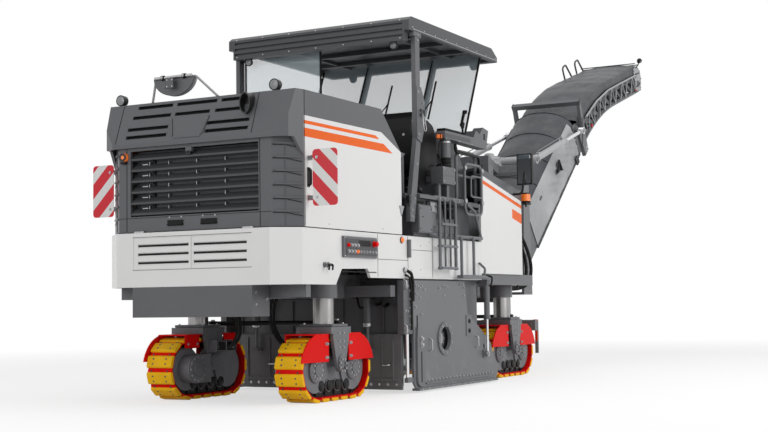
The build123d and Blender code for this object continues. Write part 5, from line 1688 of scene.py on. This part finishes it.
def build_head():
    head = Shape(along_bend(3130))
    cheek_y = 508
    slots = ((-20, 60, 300, 330), (-20, 20, 250, 330), (90, 200, 300, 322), (110, 160, 130, 162),
             (-40, 40, 90, 112))
    bolts = ((-70, 40), (-70, 200), (-70, 380), (60, 420), (220, 320), (258, 200), (190, 60))
    for side in (-1, 1):
        round_end = around(9, 222, -60, 150, (58, 226), steps=8)
        head.prism([(-90, 4), (150, 4)] + round_end + [(-90, 420)], "y", *sided(side, 500, cheek_y))
        # The slots are black patches on the cheeks: painted shade where the plate is open.
        for x0, x1, z0, z1 in slots:
            head.box(x0, x1, *sided(side, cheek_y, cheek_y + 2), z0, z1, 1, 0)
        head.lathe([(52, 0), (52, 16), (40, 24), (18, 26), (18, 44)], (78, side * cheek_y, 142),
                   (0, side, 0), 2, 24)
        head.on_side(side, cheek_y, bolts, bolt, 3)
        head.rod((-130, side * 515, 20), (-130, side * 515, 250), 11, 2, 12)
    head.tube([(60, -512, 430), (60, -552, 470), (150, -552, 520)], 10, 30, 1)
    lamp(head, (172, -552, 528), (1, 0, 0.1), 44, 60, 1, 4)
    head.box(120, 160, -584, -520, 496, 530, 1, 6)
    head.piece("conveyor_head_cheeks", "conveyor_upper", "pale", "black", "grey", "steel", "lamp_glass")


def build_lower_fittings():
    lower = Shape(conveyor_place)
    post = [(2972, -262), (3145, -262), (3158, -150), (3350, 470), (3342, 540), (3284, 540), (3262, 470),
            (3120, 60), (2972, -60)]
    bolts = ((3000, -220), (3100, -220), (3010, -120), (3290, 500), (3330, 500))
    oval = [(3205 + 88 * along * 0.33 - 20 * wide, 205 + 88 * along * 0.95) for along, wide in around(16, 1)]
    for side in (-1, 1):
        lower.box(500, 2860, *sided(side, 500, 524), -166, -132, 1)
        lower.box(2845, 2962, *sided(side, 500, 520), -150, 330)
        lower.prism(post, "y", *sided(side, 545, 556), 2, 4)
        lower.prism(oval, "y", *sided(side, 555, 558), 1, 0)
        lower.on_side(side, 556, bolts, bolt, 3)
        lower.lathe([(48, 0), (48, 10), (34, 14)], (3100, side * 545, -215), (0, side, 0), 3, 24)
        lower.rod((2958, side * 500, 209), (2958, side * 664, 209), 26, 3, 20, 3)
        lower.prism([(1790, 200), (1960, 330), (2010, 140)], "y", *sided(side, 520, 532), 1, 5)
        lower.rod((1820, side * 540, 215), (1990, side * 540, 330), 13, 1, 12)
        lower.rod((1990, side * 540, 330), (2000, side * 540, 140), 13, 1, 12)
        lower.box(2600, 2700, *sided(side, 519, 548), -190, -70, 1, 8)
        for u in range(700, 2800, 190):
            lower.on_side(side, 524, [(u, -149)], rivet, 3)
    lower.tube([(900, -150, 584), (900, -150, 640), (900, 60, 640), (900, 60, 584)], 12, 24, 1)
    for u in (60, 640, 1220, 1800, 2380, 2950):
        arch = [(u, 501 * out, 263 + 331 * up) for out, up in around(13, 1, 5.4, 169.2, steps=12)]
        lower.tube(arch, 5, 40, 1, 8)
    lower.box(3268, 3352, -560, -545, 470, 552, 1, 5)
    lower.box(3268, 3352, 545, 560, 470, 552, 1, 5)
    lower.piece("lower_conveyor_fittings", "conveyor_lower", "cowl", "black", "grey", "steel")


def draw_cleat(shape):
    for side in (-1, 1):
        shape.rod((0, 0, 8), (-110, side * 330, 8), 10, 0, 6)


def build_cleats():
    cleat = small_form("cleat", draw_cleat)
    lower = Shape(conveyor_place)
    lower.scatter([(u, 0.0, 76) for u in range(-180, 2900, 260)], (0, 0, 1), cleat, 0)
    lower.piece("lower_belt_cleats", "conveyor_lower", "rubber")
    upper = Shape(Matrix.Scale(0.001, 4))
    for distance in range(160, 3200, 260):
        upper.absorb(cleat.data.copy(), 0, Matrix.Scale(1000, 4) @ along_bend(distance) @ shift(0, 0, 233))
    upper.piece("upper_belt_cleats", "conveyor_upper", "rubber")


build_upper_rails()
build_head()
build_lower_fittings()
build_cleats()
print("conveyor dressed")

# %% [markdown]
# The slewing yoke ends in a cast turret with a bolted ring. Two cylinders lift the conveyor from it; a gland
# ring and oil pipes turn a plain tube into a cylinder.

# %% Turret and cylinders
luff_foot, luff_angle = (7200, 0, 2930), math.radians(17.64)


def build_turret():
    turret = Shape()
    turret.lathe([(138, 0), (138, 22), (124, 30), (124, 60), (132, 66), (132, 84), (108, 92)],
                 (slew_x, 0, 2874), (0, 0, 1), 0, 36)
    turret.scatter([(*point, 2962) for point in around(12, 116, 12, centre=(slew_x, 0))], (0, 0, 1), bolt, 1)
    for y in (-80, 80):
        turret.lathe([(26, 0), (26, 30), (18, 36), (18, 60)], (6900, y, 2920), (-1, 0, 0), 1, 16)
    turret.lathe([(70, 0), (70, 30), (58, 44), (30, 52)], (slew_x, 0, 2988), (0, 0, 1))
    for side in (-1, 1):
        turret.on_side(side, 550, ((6890, 1110), (7110, 1110), (6930, 2640), (7070, 2640), (7000, 2560)),
                       bolt, 1)
        turret.lathe([(96, 0), (96, 12), (80, 18), (40, 20)], (slew_x, side * 550, foot_z),
                     (0, side, 0), 2, 32)
        turret.prism([(6900, 1100), (7100, 1100), (7060, 1380), (6940, 1380)], "y", *sided(side, 550, 558), 2)
    turret.piece("turret_ring_and_bolts", "slew_turret", "pale", "steel", "grey")


def build_cylinders():
    place = body_place @ shift(*luff_foot) @ tilt(-luff_angle)
    barrel = Shape(place)
    rod_end = Shape(place)
    for side in (-1, 1):
        y = side * 610
        barrel.lathe([(50, 0), (55, 4), (55, 44), (50, 50), (32, 52)], (1205, y, 0), (1, 0, 0))
        barrel.lathe([(50, 0), (54, 5), (54, 30), (50, 34)], (70, y, 0), (1, 0, 0))
        barrel.box(118, 168, y - 22, y + 22, 44, 74, 1)
        barrel.box(1120, 1165, y - 22, y + 22, 44, 74, 1)
        barrel.tube([(145, y, 70), (145, y, 88), (1140, y, 88), (1140, y, 70)], 8, 18, 2)
        barrel.lathe([(34, 0), (34, 10), (22, 16)], (0, y + side * 36, 0), (0, side, 0), 2, 20)
        rod_end.lathe([(30, 0), (42, 8), (42, 52), (30, 60)], (1925, y, 0), (1, 0, 0), 0, 24)
        rod_end.lathe([(36, 0), (36, 10), (22, 16)], (2046, y + side * 36, 0), (0, side, 0), 1, 20)
    barrel.piece("luff_barrel_glands", "luff_barrel_pair", "pale", "steel", "grey")
    rod_end.piece("luff_rod_eyes", "luff_rod_pair", "pale", "steel")


build_turret()
build_cylinders()
print("turret and cylinders done")

# %% [markdown]
# On each side three thick hydraulic hoses leave the nose, bow outwards round the slewing yoke and drop to the
# beam below. A hose is a length of something flexible, so it is a smooth spline through a few given points.
# The carriers steer; their thinner hoses are made meshes, with the ferrule at one end on the machine and the
# one at the other end on the carrier.

# %% Hoses
nose_diameter, carrier_diameter = 0.045, 0.030


def hose_line(name, points, diameter, as_mesh=False):
    """A NURBS curve through control points in the body's millimetres, and the points that it follows.

    A hose that crosses a joint is made a mesh."""
    curve = bpy.data.curves.new(name, "CURVE")
    curve.dimensions = "3D"
    curve.resolution_u = 10
    spline = curve.splines.new("NURBS")
    spline.points.add(len(points) - 1)
    for knot, point in zip(spline.points, points):
        knot.co = (*(body_place @ Vector(point)), 1)
    spline.order_u = 3
    spline.use_endpoint_u = True
    line = new_object(name, curve)
    path = [vertex.co.copy() for vertex in plain_mesh(line).vertices]
    print(name, "length", round(sum((b - a).length for a, b in zip(path, path[1:])), 3))
    curve.bevel_depth = diameter / 2
    curve.bevel_resolution = 3
    curve.use_fill_caps = True
    curve.materials.append(finishes["rubber"])
    if as_mesh:
        tube = plain_mesh(line)
        bpy.data.objects.remove(line)
        line = new_object(name, tube)
        smooth_shading(tube)
    return line, [tuple(point) for point in path]


def ferrule(shape, place, along, radius):
    """A pressed steel sleeve and nut on a hose's end."""
    sides = 6 if radius < 20 else 18
    shape.lathe([(radius + 7, 0), (radius + 7, 16), (radius + 3, 18), (radius + 3, 60), (radius, 66)], place,
                along, 0, sides)


def build_front_hoses():
    fittings = Shape()
    for side, side_name in ((-1, "right"), (1, "left")):
        for count in range(3):
            y = 60 * count
            route = [(5750, 700 - y, 1900), (5990, 726 - y, 1950), (6240, 744 - y, 1870),
                     (6440 - 20 * count, 756 - y, 1690), (6580 - 25 * count, 762 - y, 1500),
                     (6610 - 25 * count, 760 - y, 1310), (6540 - 30 * count, 725 - y * 0.8, 1160),
                     (6410 - 40 * count, 620 - y * 0.3, 1105), (6290 - 70 * count, 534, 1112)]
            route = [(x, side * across, z) for x, across, z in route]
            hose, path = hose_line("nose_hose_" + side_name + "_" + str(count + 1), route, nose_diameter)
            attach(hose, "machine")
            for end, inner in ((route[0], route[1]), (route[-1], route[-2])):
                ferrule(fittings, end, Vector(inner) - Vector(end), 22.5)
        fittings.box(5745, 5762, *sided(side, 550, 730), 1850, 1950, 1, 6)
    fittings.piece("nose_hose_ferrules", "machine", "steel", "cowl")


def build_carrier_hoses():
    fittings = Shape()
    for front, axle in (("front_", 5570), ("rear_", 1150)):
        for side, side_name in ((-1, "right"), (1, "left")):
            ends = Shape()
            for count in range(2):
                x = axle - 150 + 60 * count
                route = [(x, 445, 1082), (x, 345, 1090), (x + 5, 250 + 10 * count, 1000), (x + 30, 205, 850),
                         (x + 70, 205, 690), (x + 100, 270, 570), (x + 110, 365, 520), (x + 110, 462, 522)]
                route = [(along, side * across, z) for along, across, z in route]
                name = "carrier_hose_" + front + side_name + "_" + str(count + 1)
                hose, path = hose_line(name, route, carrier_diameter, as_mesh=True)
                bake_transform(hose)
                ferrule(fittings, route[0], (0, -side, 0), 15)
                ferrule(ends, route[-1], (0, -side, 0), 15)
            ends.piece("carrier_hose_ends_" + front + side_name, "track_" + front + side_name, "steel")
    fittings.piece("carrier_hose_ferrules", "machine", "steel")


build_front_hoses()
build_carrier_hoses()

# %% [markdown]
# Small things finish the front: the mirror's glass looks back along the machine, the beacon's orange lens
# sits on a black base, and the low bracket in front carries a hook and two red reflectors.

# %% Front trims


def build_front_trims():
    up = (0, 0, 1)
    trims = Shape()
    trims.prism(rounded_plate(-1318, -1142, 2412, 2778, 26), "x", 5274, 5281, 0, 0)
    trims.piece("front_mirror_glass", "machine", "mirror")
    trims = Shape()
    trims.lathe([(58, 0), (59, 30), (57, 84), (46, 102), (16, 108)], (5545, -1135, 2215), up, 0, 32)
    trims.lathe([(62, 0), (62, 16), (56, 22)], (5545, -1135, 2196), up, 1, 32)
    trims.lathe([(10, 0), (10, 40)], (5545, -1135, 2140), up, 1, 12)
    for y in (-880, 880):
        trims.box(6431, 6441, y - 16, y + 16, 420, 560, 2, 2)
        trims.box(6400, 6446, y - 26, y + 26, 690, 706, 3, 3)
    trims.tube([(6410, -640, 700), (6410, -640, 735), (6410, -560, 735), (6410, -560, 700)], 9, 22, 3)
    trims.scatter([(6350, y, 640) for y in (-840, -600, -300, 300, 600, 840)], (-1, 0, 0), bolt, 4)
    for side in (-1, 1):
        trims.on_side(side, 530, [(x, z) for x in (5785, 5885) for z in (1200, 1400, 2400, 2650)], bolt, 4)
        trims.box(5700, 5752, *sided(side, 300, 903), 1284, 1292, 1, 0)
    trims.tube([(5480, -1000, 1270), (5560, -1000, 1210), (5560, -1000, 1160), (5620, -960, 1120)], 14, 40, 1)
    trims.piece("front_lens_and_trims", "machine", "amber", "black", "red", "grey", "steel")


build_front_trims()
print("front trims done")

# %% [markdown]
# The photograph shows the machine cut out on white. The floor is pale and keeps the soft shadow; for the
# camera it also glows, so that it fades into the white world.

# %% Floor, world and lights
floor_half, glow_fades, glow_is_white = 60, 7.0, 15.0
pure_white = (1, 1, 1, 1)


def seen_directly(graph):
    """1 for rays from the camera, from a reflection or through glass."""
    path = graph.tree.nodes.new("ShaderNodeLightPath")
    rays = [Wire(graph, path.outputs["Is " + kind + " Ray"]) for kind in ("Camera", "Glossy", "Transmission")]
    return graph.node("Math", {"operation": "MINIMUM"}, {0: rays[0] + rays[1] + rays[2], 1: 1.0})


def make_floor():
    corners = [(-1, -1), (1, -1), (1, 1), (-1, 1)]
    mesh = bpy.data.meshes.new("studio_floor")
    mesh.from_pydata([(x * floor_half, y * floor_half, 0) for x, y in corners], [], [(0, 1, 2, 3)])
    finish = Finish("studio_floor")
    lit = finish.node("BsdfDiffuse", {}, {"Color": (0.42, 0.42, 0.42, 1)})
    glow = finish.node("Emission", {}, {"Color": pure_white, "Strength": 0.62})
    near = finish.node("AddShader", {}, {0: lit, 1: glow})
    white_out = finish.node("Emission", {}, {"Color": pure_white, "Strength": 1.0})
    reach = finish.node("VectorMath", {"operation": "LENGTH"}, {0: finish.place}, 1)
    seen = finish.node("MixShader", {}, {0: finish.between(reach, glow_fades, glow_is_white), 1: near,
                                         2: white_out})
    plain = finish.node("BsdfDiffuse", {}, {"Color": (0.72, 0.72, 0.72, 1)})
    both = finish.node("MixShader", {}, {0: seen_directly(finish), 1: plain, 2: seen})
    finish.node("OutputMaterial", {}, {0: both})
    mesh.materials.append(finish.material)
    new_object("studio_floor", mesh)


def make_world():
    world = bpy.data.worlds.new("studio_world")
    world.use_nodes = True
    bpy.context.scene.world = world
    graph = Graph(world.node_tree, "ShaderNode")
    graph.tree.nodes.clear()
    lighting = graph.node("Background", {}, {"Color": pure_white, "Strength": 0.45})
    backdrop = graph.node("Background", {}, {"Color": pure_white, "Strength": 1.0})
    both = graph.node("MixShader", {}, {0: seen_directly(graph), 1: lighting, 2: backdrop})
    graph.node("OutputWorld", {}, {0: both})


def make_light(name, place, target, size, watts):
    lamp_data = bpy.data.lights.new(name, "AREA")
    lamp_data.shape = "SQUARE"
    lamp_data.size = size
    lamp_data.energy = watts
    holder = new_object(name, lamp_data)
    holder.location = place
    holder.rotation_euler = (Vector(target) - Vector(place)).to_track_quat("-Z", "Y").to_euler()


bpy.context.scene.view_settings.view_transform = "Standard"
make_floor()
make_world()
lights = [  # name, place, aimed at, size, watts
    ("overhead_softbox", (-2.0, -2.0, 13.0), (0, 0, 1), 12.0, 470),
    ("right_softbox", (-3.0, -14.0, 6.0), (0, 0, 1.8), 8.0, 720),
    ("rear_softbox", (-18.0, 1.0, 6.0), (-4, 0, 1.8), 7.0, 380),
]
for light in lights:
    make_light(*light)
print("lights", len(lights))
